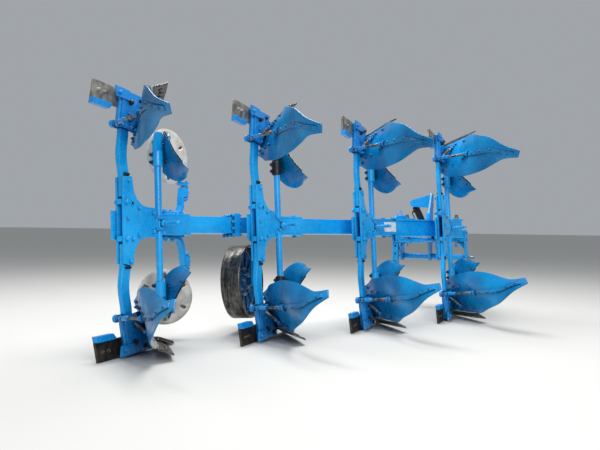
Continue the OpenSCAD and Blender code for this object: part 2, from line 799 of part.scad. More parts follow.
box_back = housing_y + 20;
box_w = 100;
box_top = 12;
box_h = 118;
module hitch_frame() {
    color("#2593e3") machine() for (s = [0, 1]) mirror([s, 0, 0]) {
        difference() {
            translate([mast_gap / 2 + mast_t, box_back, box_top - box_h])
                cube([(end_plate_span - mast_gap) / 2 - mast_t - end_plate_t, box_w, box_h]);
            translate([0, housing_y - 1, 0]) y_cylinder(axle_d / 2 + housing_wall, housing_l + 2);
        }
        difference() {
            side_plate([
                [box_back - 5, box_top + 5], [box_back + box_w, box_top + 5],
                [hitch_at + 45, -hitch_drop + 40], [hitch_at + 45, -hitch_drop - 45],
                [hitch_at - 45, -hitch_drop - 45], [box_back - 5, box_top - box_h]
            ], end_plate_t, end_plate_span / 2 - end_plate_t / 2);
            translate([0, hitch_at, -hitch_drop]) x_cylinder(cross_tube_d / 2, end_plate_span);
        }
    }
}

// Cross tube with a hitch pin at each end
module hitch_tube() {
    color("#1f6fb0") machine() {
        translate([-end_plate_span / 2, hitch_at, -hitch_drop]) x_cylinder(cross_tube_d / 2, end_plate_span);
        for (s = [0, 1]) mirror([s, 0, 0])
            translate([end_plate_span / 2, hitch_at, -hitch_drop])
                x_cylinder(hitch_pin_d / 2, (hitch_span - end_plate_span) / 2);
    }
}

spindle_x = 250;
module tilt_spindles() {
    color("#2593e3") machine() for (s = [0, 1]) mirror([s, 0, 0])
        translate([spindle_x, box_back - spindle_d / 2 - 4, 0]) {
            translate([0, 0, -160]) cylinder(d = spindle_d, h = 150);
            translate([0, 0, -10]) cylinder(d = spindle_d + 8, h = 150);
            translate([-20, 0, -60]) cube([40, spindle_d / 2 + 4, 40]);
        }
}

// Cylinder that turns the frame over
module at_anchor() {
    machine() translate([anchor[0], eye_y, anchor[1]]) children();
}

rod_dir = atan2(crank_pin[0] - anchor[0], -(crank_pin[1] - anchor[1]));
rod_len = norm(crank_pin - anchor);
// The rod goes in by this much when the frame is on edge
stroke = rod_len - (anchor_len - crank_r);
bore_top = 60;
module cylinder_barrel() {
    color("#2a2c2e") at_anchor() rotate([0, -rod_dir, 0]) difference() {
        union() {
            translate([0, -eye_w / 2, 0]) y_cylinder(28, eye_w);
            translate([-22, -eye_w / 2, -42]) cube([44, eye_w, 42]);
            translate([0, 0, -barrel_l]) cylinder(d = barrel_d, h = barrel_l - 36);
        }
        translate([0, -eye_w, 0]) y_cylinder(cyl_pin_d / 2 + run_gap, 2 * eye_w);
        translate([0, 0, -barrel_l - 1]) cylinder(r = rod_d / 2 + run_gap, h = barrel_l + 1 - bore_top);
    }
}

module cylinder_rod() {
    color("#c8cacc") at_anchor() rotate([0, -rod_dir, 0]) {
        translate([0, 0, -rod_len]) cylinder(d = rod_d, h = rod_len - stroke - bore_top - 6);
        translate([0, -eye_w / 2, -rod_len]) y_cylinder(28, eye_w);
        translate([0, -eye_w / 2, -rod_len]) y_cylinder(cyl_pin_d / 2, eye_w + 12);
    }
}

// Parking stand in its sleeve on the left end plate
sleeve_h = 170;
sleeve_outer = stand_side + 2 * sleeve_wall + 2 * slide_gap;
stand_x = -end_plate_span / 2 - sleeve_outer / 2;
stand_y = box_back + box_w / 2;
module stand_sleeve() {
    color("#2593e3") machine() translate([stand_x, stand_y, box_top - box_h - 20]) difference() {
        translate([-sleeve_outer / 2, -sleeve_outer / 2, 0]) cube([sleeve_outer, sleeve_outer, sleeve_h]);
        translate([-stand_side / 2 - slide_gap, -stand_side / 2 - slide_gap, -1])
            cube([stand_side + 2 * slide_gap, stand_side + 2 * slide_gap, sleeve_h + 2]);
    }
}

stand_top = 120;
// Height at which the foot plate's middle meets the ground
foot_z = (stand_y * sin(nose_down) - ground_h) / cos(nose_down);
module stand_leg() {
    color("#2593e3") machine() translate([stand_x, stand_y, 0]) {
        translate([-stand_side / 2, -stand_side / 2, foot_z + foot_t - 2])
            cube([stand_side, stand_side, stand_top - foot_z - foot_t + 2]);
        translate([0, 0, foot_z]) rotate([nose_down, 0, 0]) translate([-foot_side / 2, -foot_side / 2, 0])
            cube([foot_side, foot_side, foot_t]);
    }
}

rear_beam();
front_beam();
beam_joint();
cheek_plates();
axle_carrier();
turnover_axle();
bracket(0);  // bracket_1
bracket(1);  // bracket_2
bracket(2);  // bracket_3
bracket(3);  // bracket_4
legs(0);  // legs_1
legs(1);  // legs_2
legs(2);  // legs_3
legs(3);  // legs_4
frogs();
landsides();
guard_bars();
shares(0);  // shares_1
shares(1);  // shares_2
shares(2);  // shares_3
shares(3);  // shares_4
moldboards(0);  // moldboards_1
moldboards(1);  // moldboards_2
moldboards(2);  // moldboards_3
moldboards(3);  // moldboards_4
board_stays();
skimmer_stems();
stem_clamps();
skimmer_sockets();
skimmer_boards();
coulter_arms();
lower_fork();
upper_fork();
lower_disc();
upper_disc();
wheel_bracket();
wheel_swing_arm();
wheel_rim();
wheel_disc();
headstock();
hitch_frame();
hitch_tube();
tilt_spindles();
stand_sleeve();
stand_leg();
cylinder_barrel();
cylinder_rod();
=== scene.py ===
import math

import bmesh
import bpy
from mathutils import Matrix, Vector


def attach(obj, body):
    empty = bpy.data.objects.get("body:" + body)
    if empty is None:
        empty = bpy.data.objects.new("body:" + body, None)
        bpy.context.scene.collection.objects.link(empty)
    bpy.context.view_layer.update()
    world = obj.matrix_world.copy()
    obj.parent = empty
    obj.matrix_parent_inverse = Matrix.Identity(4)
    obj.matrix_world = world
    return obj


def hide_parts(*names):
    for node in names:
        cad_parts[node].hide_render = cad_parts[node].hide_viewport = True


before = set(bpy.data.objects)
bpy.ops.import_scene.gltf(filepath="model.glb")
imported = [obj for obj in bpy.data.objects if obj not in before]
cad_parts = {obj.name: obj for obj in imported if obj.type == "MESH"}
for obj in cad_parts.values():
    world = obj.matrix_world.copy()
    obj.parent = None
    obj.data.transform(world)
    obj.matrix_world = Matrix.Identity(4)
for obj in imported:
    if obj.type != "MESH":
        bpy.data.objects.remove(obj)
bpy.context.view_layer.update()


# Beam: welded box section in two lengths, with cheek plates over and under its front half, all
# sprayed in sky blue enamel. It is glossy and a little uneven over wide faces, with dust in the
# upper faces and chips down to the dark scale along the edges.
def linear(code):
    """The linear colour, with alpha, of an sRGB hex code."""
    parts = [int(code[i:i + 2], 16) / 255 for i in (1, 3, 5)]
    return [c / 12.92 if c <= 0.04045 else ((c + 0.055) / 1.055) ** 2.4 for c in parts] + [1.0]


def add(tree, kind, settings=None, links=None):
    """Adds one shader node with its settings and what feeds it."""
    node = tree.nodes.new(kind)
    for name, value in (settings or {}).items():
        if isinstance(name, str) and hasattr(node, name):
            setattr(node, name, value)
        else:
            node.inputs[name].default_value = value
    for socket, source in (links or {}).items():
        tree.links.new(source, node.inputs[socket])
    return node


def new_material(name):
    """An empty material's tree, with the place on the object that its patterns follow."""
    material = bpy.data.materials.new(name)
    material.use_nodes = True
    material.node_tree.nodes.clear()
    place = add(material.node_tree, "ShaderNodeTexCoord")
    return material, material.node_tree, place.outputs["Object"]


def clouds(tree, place, size_mm, low, high, to_low=0.0, to_high=1.0, detail=4.0):
    """Noise patches of a size, cut between two levels and spread between two others."""
    noise = add(tree, "ShaderNodeTexNoise", {"Scale": 1000 / size_mm, "Detail": detail}, {"Vector": place})
    levels = {"From Min": low, "From Max": high, "To Min": to_low, "To Max": to_high}
    return add(tree, "ShaderNodeMapRange", levels, {"Value": noise.outputs["Fac"]}).outputs["Result"]


def blend_colour(tree, amount, first, second):
    """A mix of two colours, each a hex code or the output of a node."""
    settings, links = {"data_type": "RGBA"}, {"Factor": amount}
    for socket, colour in ((6, first), (7, second)):
        if isinstance(colour, str):
            settings[socket] = linear(colour)
        else:
            links[socket] = colour
    return add(tree, "ShaderNodeMix", settings, links).outputs[2]


def product(tree, first, second):
    """One amount times another."""
    return add(tree, "ShaderNodeMath", {"operation": "MULTIPLY"}, {0: first, 1: second}).outputs["Value"]


def worn_edges(tree, width_mm):
    """Where the surface turns within a width, and the normal that is rounded there."""
    rounded = add(tree, "ShaderNodeBevel", {"samples": 6, "Radius": width_mm / 1000})
    true_face = add(tree, "ShaderNodeNewGeometry")
    straight = add(tree, "ShaderNodeVectorMath", {"operation": "DOT_PRODUCT"},
                   {0: rounded.outputs["Normal"], 1: true_face.outputs["Normal"]})
    edge = add(tree, "ShaderNodeMapRange", {"From Min": 0.995, "From Max": 0.9},
               {"Value": straight.outputs["Value"]})
    return edge.outputs["Result"], rounded.outputs["Normal"]


def relief(tree, place, size_mm, depth_mm, strength, normal=None):
    """The normal of a surface with small lumps."""
    lumps = add(tree, "ShaderNodeTexNoise", {"Scale": 1000 / size_mm, "Detail": 3.0}, {"Vector": place})
    links = {"Height": lumps.outputs["Fac"]}
    if normal:
        links["Normal"] = normal
    bump = add(tree, "ShaderNodeBump", {"Strength": strength, "Distance": depth_mm / 1000}, links)
    return bump.outputs["Normal"]


def close(tree, shader):
    """Sends a shader to the material's output."""
    add(tree, "ShaderNodeOutputMaterial", links={"Surface": shader.outputs["BSDF"]})


def corner_shade_and_grime(tree, place, reach_mm, most):
    """Painted shade with grime, darkening corners up to a distance from them."""
    corner = add(tree, "ShaderNodeAmbientOcclusion", {"samples": 8, "Distance": reach_mm / 1000})
    depth = add(tree, "ShaderNodeMapRange", {"From Min": 0.8, "From Max": 0.35, "To Max": most},
                {"Value": corner.outputs["AO"]})
    return product(tree, depth.outputs["Result"], clouds(tree, place, 12, 0.25, 0.6, 0.45, 1.0))


def painted(name, thin, thick, chips, dust_most):
    """Blue enamel: its two shades, how much of the edges is chipped, and the most dust."""
    material, tree, place = new_material(name)
    # Drift of the sprayed coat's thickness over 300 mm, and drier streaks over 90 mm
    coat = blend_colour(tree, clouds(tree, place, 300, 0.35, 0.65), thin, thick)
    coat = blend_colour(tree, clouds(tree, place, 90, 0.55, 0.8, 0.0, 0.3), coat, thin)
    dust = clouds(tree, place, 40, 0.5, 0.8, 0.0, dust_most, detail=7.0)
    coat = blend_colour(tree, dust, coat, "#8FB4C4")
    edge, rounded = worn_edges(tree, 3)
    bare = product(tree, edge, clouds(tree, place, 14, 0.62 - chips, 0.72 - chips))
    coat = blend_colour(tree, bare, coat, "#26323B")
    # Rubbed spots of 8 mm, down to a darker blue
    coat = blend_colour(tree, clouds(tree, place, 8, 0.7, 0.76, 0.0, 0.45), coat, "#12507C")
    # Painted shade and grime in the corners, down to a dark blue
    coat = blend_colour(tree, corner_shade_and_grime(tree, place, 30, 0.85), coat, "#0B2A40")
    gloss = clouds(tree, place, 40, 0.3, 0.8, 0.2, 0.42, detail=7.0)
    # Orange peel, 5 mm apart
    skin = relief(tree, place, 5, 0.5, 0.1, rounded)
    close(tree, add(tree, "ShaderNodeBsdfPrincipled", {"Specular IOR Level": 0.4},
                    {"Base Color": coat, "Roughness": gloss, "Normal": skin}))
    return material


enamel = painted("sky_blue_enamel", "#0894DA", "#18AAF0", 0.05, 0.12)


def break_edges(thing, width_mm):
    """Rounds the edges of a mesh, as a grinder leaves them."""
    rounding = thing.modifiers.new("broken_edges", "BEVEL")
    rounding.width = width_mm / 1000
    rounding.segments = 2
    rounding.limit_method = "ANGLE"
    rounding.angle_limit = math.radians(40)
    rounding.harden_normals = True


def dress(node_name, material, edge_mm=1.5):
    """Gives a solid of the frame its material and broken edges."""
    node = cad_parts[node_name]
    node.data.materials.clear()
    node.data.materials.append(material)
    if edge_mm:
        weld = node.modifiers.new("joined_corners", "WELD")
        weld.merge_threshold = 0.00002
        break_edges(node, edge_mm)


for node_name in ("rear_beam", "front_beam", "cheek_plates", "axle_carrier", "beam_joint"):
    dress(node_name, enamel, 3 if "beam" in node_name else 2)

# Millimetres along the machine, which stands nose down by a little, from its turnover axis, and the
# plough frame that leans about that axis. Stations stand 1 m apart along the beam.
AXIS_AT = (0.254, 1.08804, 0.826371)
NOSE_DOWN = 2.30628
FRAME_LEAN = 4
machine = (Matrix.Translation(AXIS_AT) @ Matrix.Rotation(math.radians(-NOSE_DOWN), 4, "X")
           @ Matrix.Scale(0.001, 4))
plough = machine @ Matrix.Rotation(math.radians(-FRAME_LEAN), 4, "Y")
PITCH_ACROSS = 500
PITCH_ALONG = 866.0254
FIRST_LEG_X = 235
BEAM_Y = 550
BEAM_HALF = 60


def station(number, upper=False):
    """Leg's middle on the beam's height, at a station from the rear; the upper half is a mirror image."""
    mirror = Matrix.Diagonal((1, 1, -1, 1)) if upper else Matrix.Identity(4)
    behind = 4 - number
    return (plough @ Matrix.Translation((FIRST_LEG_X - PITCH_ACROSS * behind, -PITCH_ALONG * behind, 0))
            @ mirror)


def beam_place(along):
    """On the beam's middle line: x runs forward along it, y to its left, z up, from the first bracket."""
    return (station(4) @ Matrix.Translation((0, BEAM_Y, 0)) @ Matrix.Rotation(math.radians(60), 4, "Z")
            @ Matrix.Translation((along, 0, 0)))


def turned(bm, place, profile, sides=32, closed=False):
    """A turned form about the local z: radius and height of each ring."""
    rings = []
    for radius, height in profile:
        if radius == 0:
            rings.append([bm.verts.new(place @ Vector((0, 0, height)))])
            continue
        angles = [2 * math.pi * (k + 0.5) / sides for k in range(sides)]
        rings.append([bm.verts.new(place @ Vector((radius * math.cos(a), radius * math.sin(a), height)))
                      for a in angles])
    for low, high in zip(rings, rings[1:] + (rings[:1] if closed else [])):
        for k in range(sides):
            loop = [low[k % len(low)], low[(k + 1) % len(low)],
                    high[(k + 1) % len(high)], high[k % len(high)]]
            corners = list(dict.fromkeys(loop))
            if len(corners) > 2:
                bm.faces.new(corners)


def skin(bm, rings):
    """Faces between rings of corners, closed at both ends."""
    bm.faces.new(rings[0])
    bm.faces.new(rings[-1])
    for low, high in zip(rings, rings[1:]):
        for k in range(len(low)):
            n = (k + 1) % len(low)
            bm.faces.new((low[k], low[n], high[n], high[k]))


def prism(bm, place, outline, low, high, axis=0):
    """A flat plate: its outline in the two other coordinates, and its two levels on an axis."""
    rings = []
    for level in (low, high):
        points = [list(pair) for pair in outline]
        for point in points:
            point.insert(axis, level)
        rings.append([bm.verts.new(place @ Vector(point)) for point in points])
    skin(bm, rings)


def block(bm, place, low, high):
    """A block between two corners."""
    outline = [(low[1], low[2]), (high[1], low[2]), (high[1], high[2]), (low[1], high[2])]
    prism(bm, place, outline, low[0], high[0])


def bar(bm, place, path, radius, sides=12):
    """A round bar through some points."""
    points = [Vector(p) for p in path]
    across = None
    rings = []
    for k, point in enumerate(points):
        ahead = (points[min(k + 1, len(points) - 1)] - points[max(k - 1, 0)]).normalized()
        if across is None:
            across = ahead.orthogonal().normalized()
        across = (across - ahead * across.dot(ahead)).normalized()
        other = ahead.cross(across)
        size = radius[k] if isinstance(radius, (list, tuple)) else radius
        rings.append([bm.verts.new(place @ (point + size * (math.cos(a) * across + math.sin(a) * other)))
                      for a in (2 * math.pi * j / sides for j in range(sides))])
    skin(bm, rings)


def facing(at, along):
    """A place whose z looks along a direction."""
    return Matrix.Translation(at) @ Vector(along).to_track_quat("Z", "Y").to_matrix().to_4x4()


def hex_bolt(bm, place, at, along, size, thread=0):
    """Hexagon head on a washer, and where wanted the thread's end beyond it."""
    spot = place @ facing(at, along)
    washer, head = size * 1.15, 2 + size * 1.05
    turned(bm, spot, [(0, 0), (washer, 0), (washer, 3), (size * 0.7, 3)], 20)
    turned(bm, spot, [(size, 2), (size, 2 + size * 0.9), (size * 0.86, head), (0, head)], 6)
    if thread:
        core, end = size * 0.55, size + thread
        turned(bm, spot, [(core, size), (core, end), (core * 0.8, end + 3), (0, end + 3)], 14)


def make_piece(name, bm, body, material, edge_mm=0.0, stands_for=(), second=None):
    """Turns a mesh into a named piece that rides on a body."""
    bmesh.ops.recalc_face_normals(bm, faces=bm.faces)
    data = bpy.data.meshes.new(name)
    bm.to_mesh(data)
    bm.free()
    data.shade_smooth()
    data.set_sharp_from_angle(angle=math.radians(38))
    data.materials.append(material)
    if second:
        data.materials.append(second)
    made = bpy.data.objects.new(name, data)
    bpy.context.scene.collection.objects.link(made)
    if edge_mm:
        break_edges(made, edge_mm)
    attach(made, body)
    if stands_for:
        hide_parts(*stands_for)
    return made


# Bolts of the beam's flange joint, two along each side of the square flange, and the stiffening strips
# that are welded along the top and bottom of the front beam.
JOINT_AT = -2520
bm = bmesh.new()
for u in (-1, 1):
    for v in (-72, 72):
        for face, way in ((JOINT_AT - 22, -1), (JOINT_AT + 22, 1)):
            hex_bolt(bm, beam_place(0), (face, u * 24, v), (way, 0, 0), 13, 5)
            hex_bolt(bm, beam_place(0), (face, v, u * 24), (way, 0, 0), 13, 5)
make_piece("beam_joint_bolts", bm, "plough_frame", enamel)

bm = bmesh.new()
for z in (-1, 1):
    for y in (-1, 1):
        block(bm, beam_place(0), (-840, y * BEAM_HALF - 7, z * 68 - 8), (-150, y * BEAM_HALF + 7, z * 68 + 8))
make_piece("beam_seam_strips", bm, "plough_frame", enamel, 2)

# End cap of the beam's tail: a pressed steel plate that is welded in and enamelled with the beam. Its
# middle is raised.
bm = bmesh.new()
for half, low, high in ((50, 0, 8), (34, -3, 2)):
    prism(bm, beam_place(-3190), [(-half, -half), (half, -half), (half, half), (-half, half)], low, high)
make_piece("beam_end_cap", bm, "plough_frame", enamel, 2)

# Adjusting gear on the front beam: a lug with its ring on top, a stub post, a blank plate on the
# side, and the furrow width spindle below with its two forked ends.
bm = bmesh.new()
prism(bm, beam_place(-700), [(-110, 76), (-60, 112), (40, 118), (110, 76)], -14, 14, axis=1)
prism(bm, beam_place(-700), [(-130, -30), (130, -30), (130, 34), (-130, 34)], 76, 88, axis=2)
angles = [math.pi * k / 12 for k in range(25)]
bar(bm, beam_place(-700), [(-20 + 30 * math.cos(a), 0, 128 + 30 * math.sin(a)) for a in angles], 5, 8)
turned(bm, beam_place(-330), [(0, 76), (26, 76), (26, 142), (22, 148), (12, 148), (12, 120), (0, 120)], 28)
for at in (-850, -560, -260):
    hex_bolt(bm, beam_place(at), (0, -34, 76), (0, 0, 1), 15)
make_piece("beam_top_fittings", bm, "plough_frame", enamel, 1.5)

bm = bmesh.new()
bar(bm, beam_place(0), [(-820, -40, -118), (-300, -40, -112)], 15, 20)
bar(bm, beam_place(0), [(-640, -40, -116), (-480, -40, -114)], 23, 20)
for at in (-820, -300):
    for y in (-66, -22):
        prism(bm, beam_place(at), [(-34, -64), (34, -64), (22, -134), (-22, -134)], y, y + 10, axis=1)
    turned(bm, beam_place(at) @ facing((0, -76, -116), (0, 1, 0)), [(0, 0), (13, 0), (13, 74), (0, 74)], 16)
make_piece("furrow_width_spindle", bm, "plough_frame", enamel, 1.2)

# White lacquer on thin sheet, faintly clouded over 30 mm, with a half dull shine
bare_plate, tree, place = new_material("white_lacquered_plate")
tone = blend_colour(tree, clouds(tree, place, 30, 0.4, 0.7), "#DCE0E2", "#B9C0C4")
close(tree, add(tree, "ShaderNodeBsdfPrincipled", {"Roughness": 0.45}, {"Base Color": tone}))
bm = bmesh.new()
prism(bm, beam_place(-912), [(-72, -38), (72, -38), (72, 46), (-72, 46)], -61.5, -60, axis=1)
make_piece("blank_plate", bm, "plough_frame", bare_plate, 0.3)

# Brackets: two flame-cut clamp plates around each leg, with consoles over and under the beam.
# They are enamelled; bolts, spacers and the strip on the left plate are separate and bolted through.
CLAMP_FACE = 31
CLAMP_BOLTS = [
    (4, 252, 12), (-23, 116, 16), (108, 84, 12), (-8, 10, 11), (42, -116, 14), (-23, -116, 16),
    (103, -90, 12), (10, -258, 12), (262, 62, 14), (262, -62, 14)
]
for number in (1, 2, 3, 4):
    dress(f"bracket_{number}", enamel)
    place = station(number)
    bm = bmesh.new()
    for side in (-1, 1):
        for y, z, size in CLAMP_BOLTS:
            hex_bolt(bm, place, (side * CLAMP_FACE, y, z), (side, 0, 0), size, 4)
        turned(bm, place @ facing((side * CLAMP_FACE, 42, 112), (side, 0, 0)),
               [(17, 0), (17, 5), (11, 5), (11, 0)], 24, closed=True)
    make_piece(f"bracket_bolts_{number}", bm, "plough_frame", enamel, 0.6)
    bm = bmesh.new()
    for z in (-116, 116):
        turned(bm, place @ facing((-16, -23, z), (1, 0, 0)), [(0, 0), (17, 0), (17, 32), (0, 32)], 24)
        block(bm, place, (-15.5, -58, z - 17), (15.5, -26, z + 17))
    prism(bm, place, [(-84, -118), (-22, -118), (-22, 62), (-84, 62)], -42, -CLAMP_FACE)
    for z in (40, -96):
        hex_bolt(bm, place, (-42, -50, z), (-1, 0, 0), 10)
    make_piece(f"bracket_spacers_{number}", bm, "plough_frame", enamel, 1.5)

# Legs: bowed bars of tempered steel, rolled with soft edges and enamelled. A black stop key sits on
# each leg where it comes out of the clamp plates.
for number in (1, 2, 3, 4):
    dress(f"legs_{number}", enamel, 6)

# Black-oxidised steel under oil: nearly black, half dull, with grey rubbed edges
blackened, tree, place = new_material("oiled_black_steel")
tone = blend_colour(tree, clouds(tree, place, 9, 0.35, 0.7), "#14171A", "#2C3338")
edge, rounded = worn_edges(tree, 2)
tone = blend_colour(tree, product(tree, edge, clouds(tree, place, 6, 0.45, 0.6)), tone, "#5E6468")
close(tree, add(tree, "ShaderNodeBsdfPrincipled", {"Metallic": 0.4},
                {"Base Color": tone, "Roughness": clouds(tree, place, 20, 0.3, 0.7, 0.35, 0.6),
                 "Normal": relief(tree, place, 3, 0.4, 0.2, rounded)}))
for number in (1, 2, 3, 4):
    bm = bmesh.new()
    for upper in (False, True):
        place = station(number, upper)
        block(bm, place, (16, -24, -302), (25, 30, -288))
        block(bm, place, (-25, -24, -302), (-16, 30, -288))
        turned(bm, place @ facing((CLAMP_FACE, 39, -112), (1, 0, 0)),
               [(0, 0), (10.5, 0), (10.5, 1.5), (0, 1.5)], 20)
    make_piece(f"leg_stop_keys_{number}", bm, "plough_frame", blackened, 1)

# Frogs: welded foot posts between leg and share, in a darker and dustier enamel than the frame's, with a
# rounded strip down the back edge, the big share bolt, the heel bolt and the flange bolts at the leg.
foot_enamel = painted("foot_enamel_soiled", "#0A7EC6", "#128EDA", 0.1, 0.22)
dress("frogs", foot_enamel, 2.5)
SOLE = -843


def foot(number, upper=False):
    """A body's own place: x to the right of the leg, y forward, z up from the sole."""
    return (station(number, upper) @ Matrix.Translation((0, 0, SOLE))
            @ Matrix.Rotation(math.radians(NOSE_DOWN), 4, "X"))


for number in (1, 2, 3, 4):
    bm = bmesh.new()
    for upper in (False, True):
        place = foot(number, upper)
        bar(bm, place, [(4, -46, 252), (4, -38, 190), (4, -20, 84), (4, -19, 14)], [18, 16, 13, 12], 16)
        hex_bolt(bm, place, (42, -78, 50), (1, 0, 0), 12, 3)
        hex_bolt(bm, place, (30, 30, 160), (1, 0, 0), 9)
        for low, high in ((-26, -22), (30, 36)):
            prism(bm, place, [(-60, 236), (72, 236), (64, 262), (-60, 262)], low, high)
        for y in (-42, 46):
            hex_bolt(bm, place, (36, y, 249), (1, 0, 0), 10, 4)
    make_piece(f"frog_fittings_{number}", bm, "plough_frame", foot_enamel, 1.2)
    bm = bmesh.new()
    for upper in (False, True):
        hex_bolt(bm, foot(number, upper), (30, 46, 82), (1, 0, 0), 17, 6)
        hex_bolt(bm, foot(number, upper), (30, 150, 46), (1, 0, 0), 12, 4)
    make_piece(f"share_bolts_{number}", bm, "plough_frame", blackened, 0.8)

# Landsides: wear plates bolted to the frog's left face. The lower ones, below the beam's height, are dark
# with brown patches; the upper ones are paler grey. Edges are rubbed bright.
def upper_half(tree, place):
    """One above the beam, which is some 0.85 m above the floor, and nothing below it."""
    height = add(tree, "ShaderNodeSeparateXYZ", links={"Vector": place})
    return add(tree, "ShaderNodeMapRange", {"From Min": 0.84, "From Max": 0.86},
               {"Value": height.outputs["Z"]}).outputs["Result"]


# Scoured steel under a skin of earth: dull, brown to grey in patches, bright only at the edges
scoured, tree, place = new_material("soil_scoured_steel")
low_tone = blend_colour(tree, clouds(tree, place, 45, 0.35, 0.7, detail=7.0), "#1D1A18", "#48403A")
high_tone = blend_colour(tree, clouds(tree, place, 60, 0.35, 0.65, detail=7.0), "#6E665D", "#A7A39B")
tone = blend_colour(tree, upper_half(tree, place), low_tone, high_tone)
tone = blend_colour(tree, clouds(tree, place, 25, 0.6, 0.78, 0.0, 0.8, detail=8.0), tone, "#6B4E37")
edge, rounded = worn_edges(tree, 3)
tone = blend_colour(tree, product(tree, edge, clouds(tree, place, 10, 0.35, 0.6)), tone, "#9B9790")
close(tree, add(tree, "ShaderNodeBsdfPrincipled", {"Metallic": 0.55},
                {"Base Color": tone, "Roughness": clouds(tree, place, 30, 0.3, 0.7, 0.38, 0.7),
                 "Normal": relief(tree, place, 7, 1.2, 0.35, rounded)}))
dress("landsides", scoured, 2)
dress("guard_bars", foot_enamel, 2)
for number in (1, 2, 3, 4):
    bm = bmesh.new()
    for upper in (False, True):
        place = foot(number, upper)
        for y, z in ((-205, 60), (-150, 60), (60, 62), (150, 62)):
            turned(bm, place @ facing((-36, y, z), (-1, 0, 0)), [(0, 0), (13, 0), (11, 2.5), (0, 2.5)], 20)
            if y < 0:
                hex_bolt(bm, place, (-22, y, z), (1, 0, 0), 11, 5)
    make_piece(f"landside_bolts_{number}", bm, "plough_frame", scoured, 0.6)

# Shares: forged blades with a reversible chisel point clamped at the front, both scoured bright
# along the cutting edge, with countersunk bolts.
# Forged steel, scoured: dark and brown in patches, satin, with bright edges
share_steel, tree, place = new_material("scoured_share_steel")
tone = blend_colour(tree, clouds(tree, place, 60, 0.35, 0.7, detail=7.0), "#2C2824", "#6E6860")
tone = blend_colour(tree, clouds(tree, place, 20, 0.6, 0.75, 0.0, 0.7, detail=8.0), tone, "#6E4C33")
edge, rounded = worn_edges(tree, 5)
tone = blend_colour(tree, product(tree, edge, clouds(tree, place, 12, 0.25, 0.5)), tone, "#C9C6C0")
close(tree, add(tree, "ShaderNodeBsdfPrincipled", {"Metallic": 0.85},
                {"Base Color": tone, "Roughness": clouds(tree, place, 35, 0.3, 0.7, 0.3, 0.55),
                 "Normal": relief(tree, place, 9, 0.8, 0.25, rounded)}))
for number in (1, 2, 3, 4):
    dress(f"shares_{number}", share_steel, 2)
    bm = bmesh.new()
    for upper in (False, True):
        place = foot(number, upper)
        prism(bm, place, [(300, 56), (312, 78), (470, 26), (498, 4), (472, 4), (330, 50)], -40, 26)
        for x, y, z in ((60, 280, 40), (120, 215, 40), (178, 150, 39), (232, 82, 40), (278, 16, 42)):
            turned(bm, place @ facing((x, y, z), (0.32, 0.36, 0.88)),
                   [(0, 0), (13, 0), (13, 5), (10, 6.5), (0, 6.5)], 20)
    make_piece(f"share_points_{number}", bm, "plough_frame", share_steel, 1.5)

# Moldboards: triple-ply sheet, pressed hollow and twisted toward the tail. The working face is
# scoured bright by the soil; the back keeps its blue paint, with nuts and a stiffening rail on it.
# Each row of the sheet: its point on the lower edge, its point on the upper edge, and its hollow.
BOARD_ROWS = [
    ((-28, 322, 62), (-26, 136, 329), 10), ((30, 262, 64), (30, 92, 360), 20),
    ((80, 200, 63), (78, 36, 393), 29), ((154, 104, 64), (148, -38, 412), 36),
    ((244, -16, 67), (246, -142, 434), 40), ((328, -166, 77), (346, -240, 436), 38),
    ((412, -330, 130), (442, -312, 422), 28), ((522, -462, 190), (538, -390, 394), 18),
    ((636, -548, 286), (618, -466, 378), 8), ((752, -598, 350), (733, -545, 392), 0)
]
BACKWARD = Vector((-0.68, -0.68, 0.27))
BOARD_THICK = 8


def curve_through(points, t):
    """A smooth line through points, at a place from 0 to the last one's number."""
    k = min(int(t), len(points) - 2)
    f = t - k
    a, b, c, d = (points[min(max(j, 0), len(points) - 1)] for j in (k - 1, k, k + 1, k + 2))
    return b + 0.5 * f * (c - a + f * (2 * a - 5 * b + 4 * c - d + f * (3 * (b - c) + d - a)))


def sheet_point(rows, u, v):
    """A point of a hollow sheet: along its rows, and from its lower edge to its upper one."""
    low = curve_through([Vector(row[0]) for row in rows], u)
    high = curve_through([Vector(row[1]) for row in rows], u)
    sag = curve_through([Vector((row[2], 0, 0)) for row in rows], u).x
    return low.lerp(high, v) + sag * 4 * v * (1 - v) * BACKWARD


def pressed_sheet(bm, place, rows, thick, across, along):
    """A sheet with its working face in the second material, its back in the first, and closed edges."""
    last = len(rows) - 1
    front, back = [], []
    for r in range(along + 1):
        u = last * r / along
        points = [sheet_point(rows, u, c / across) for c in range(across + 1)]
        front.append([bm.verts.new(place @ p) for p in points])
        back.append([bm.verts.new(place @ (p + thick)) for p in points])
    for r in range(along):
        for c in range(across):
            face = bm.faces.new((front[r][c], front[r + 1][c], front[r + 1][c + 1], front[r][c + 1]))
            face.material_index = 1
            bm.faces.new((back[r][c], back[r][c + 1], back[r + 1][c + 1], back[r + 1][c]))
    for r in range(along):
        for c in (0, across):
            bm.faces.new((front[r][c], front[r + 1][c], back[r + 1][c], back[r][c]))
    for c in range(across):
        for r in (0, along):
            bm.faces.new((front[r][c], front[r][c + 1], back[r][c + 1], back[r][c]))
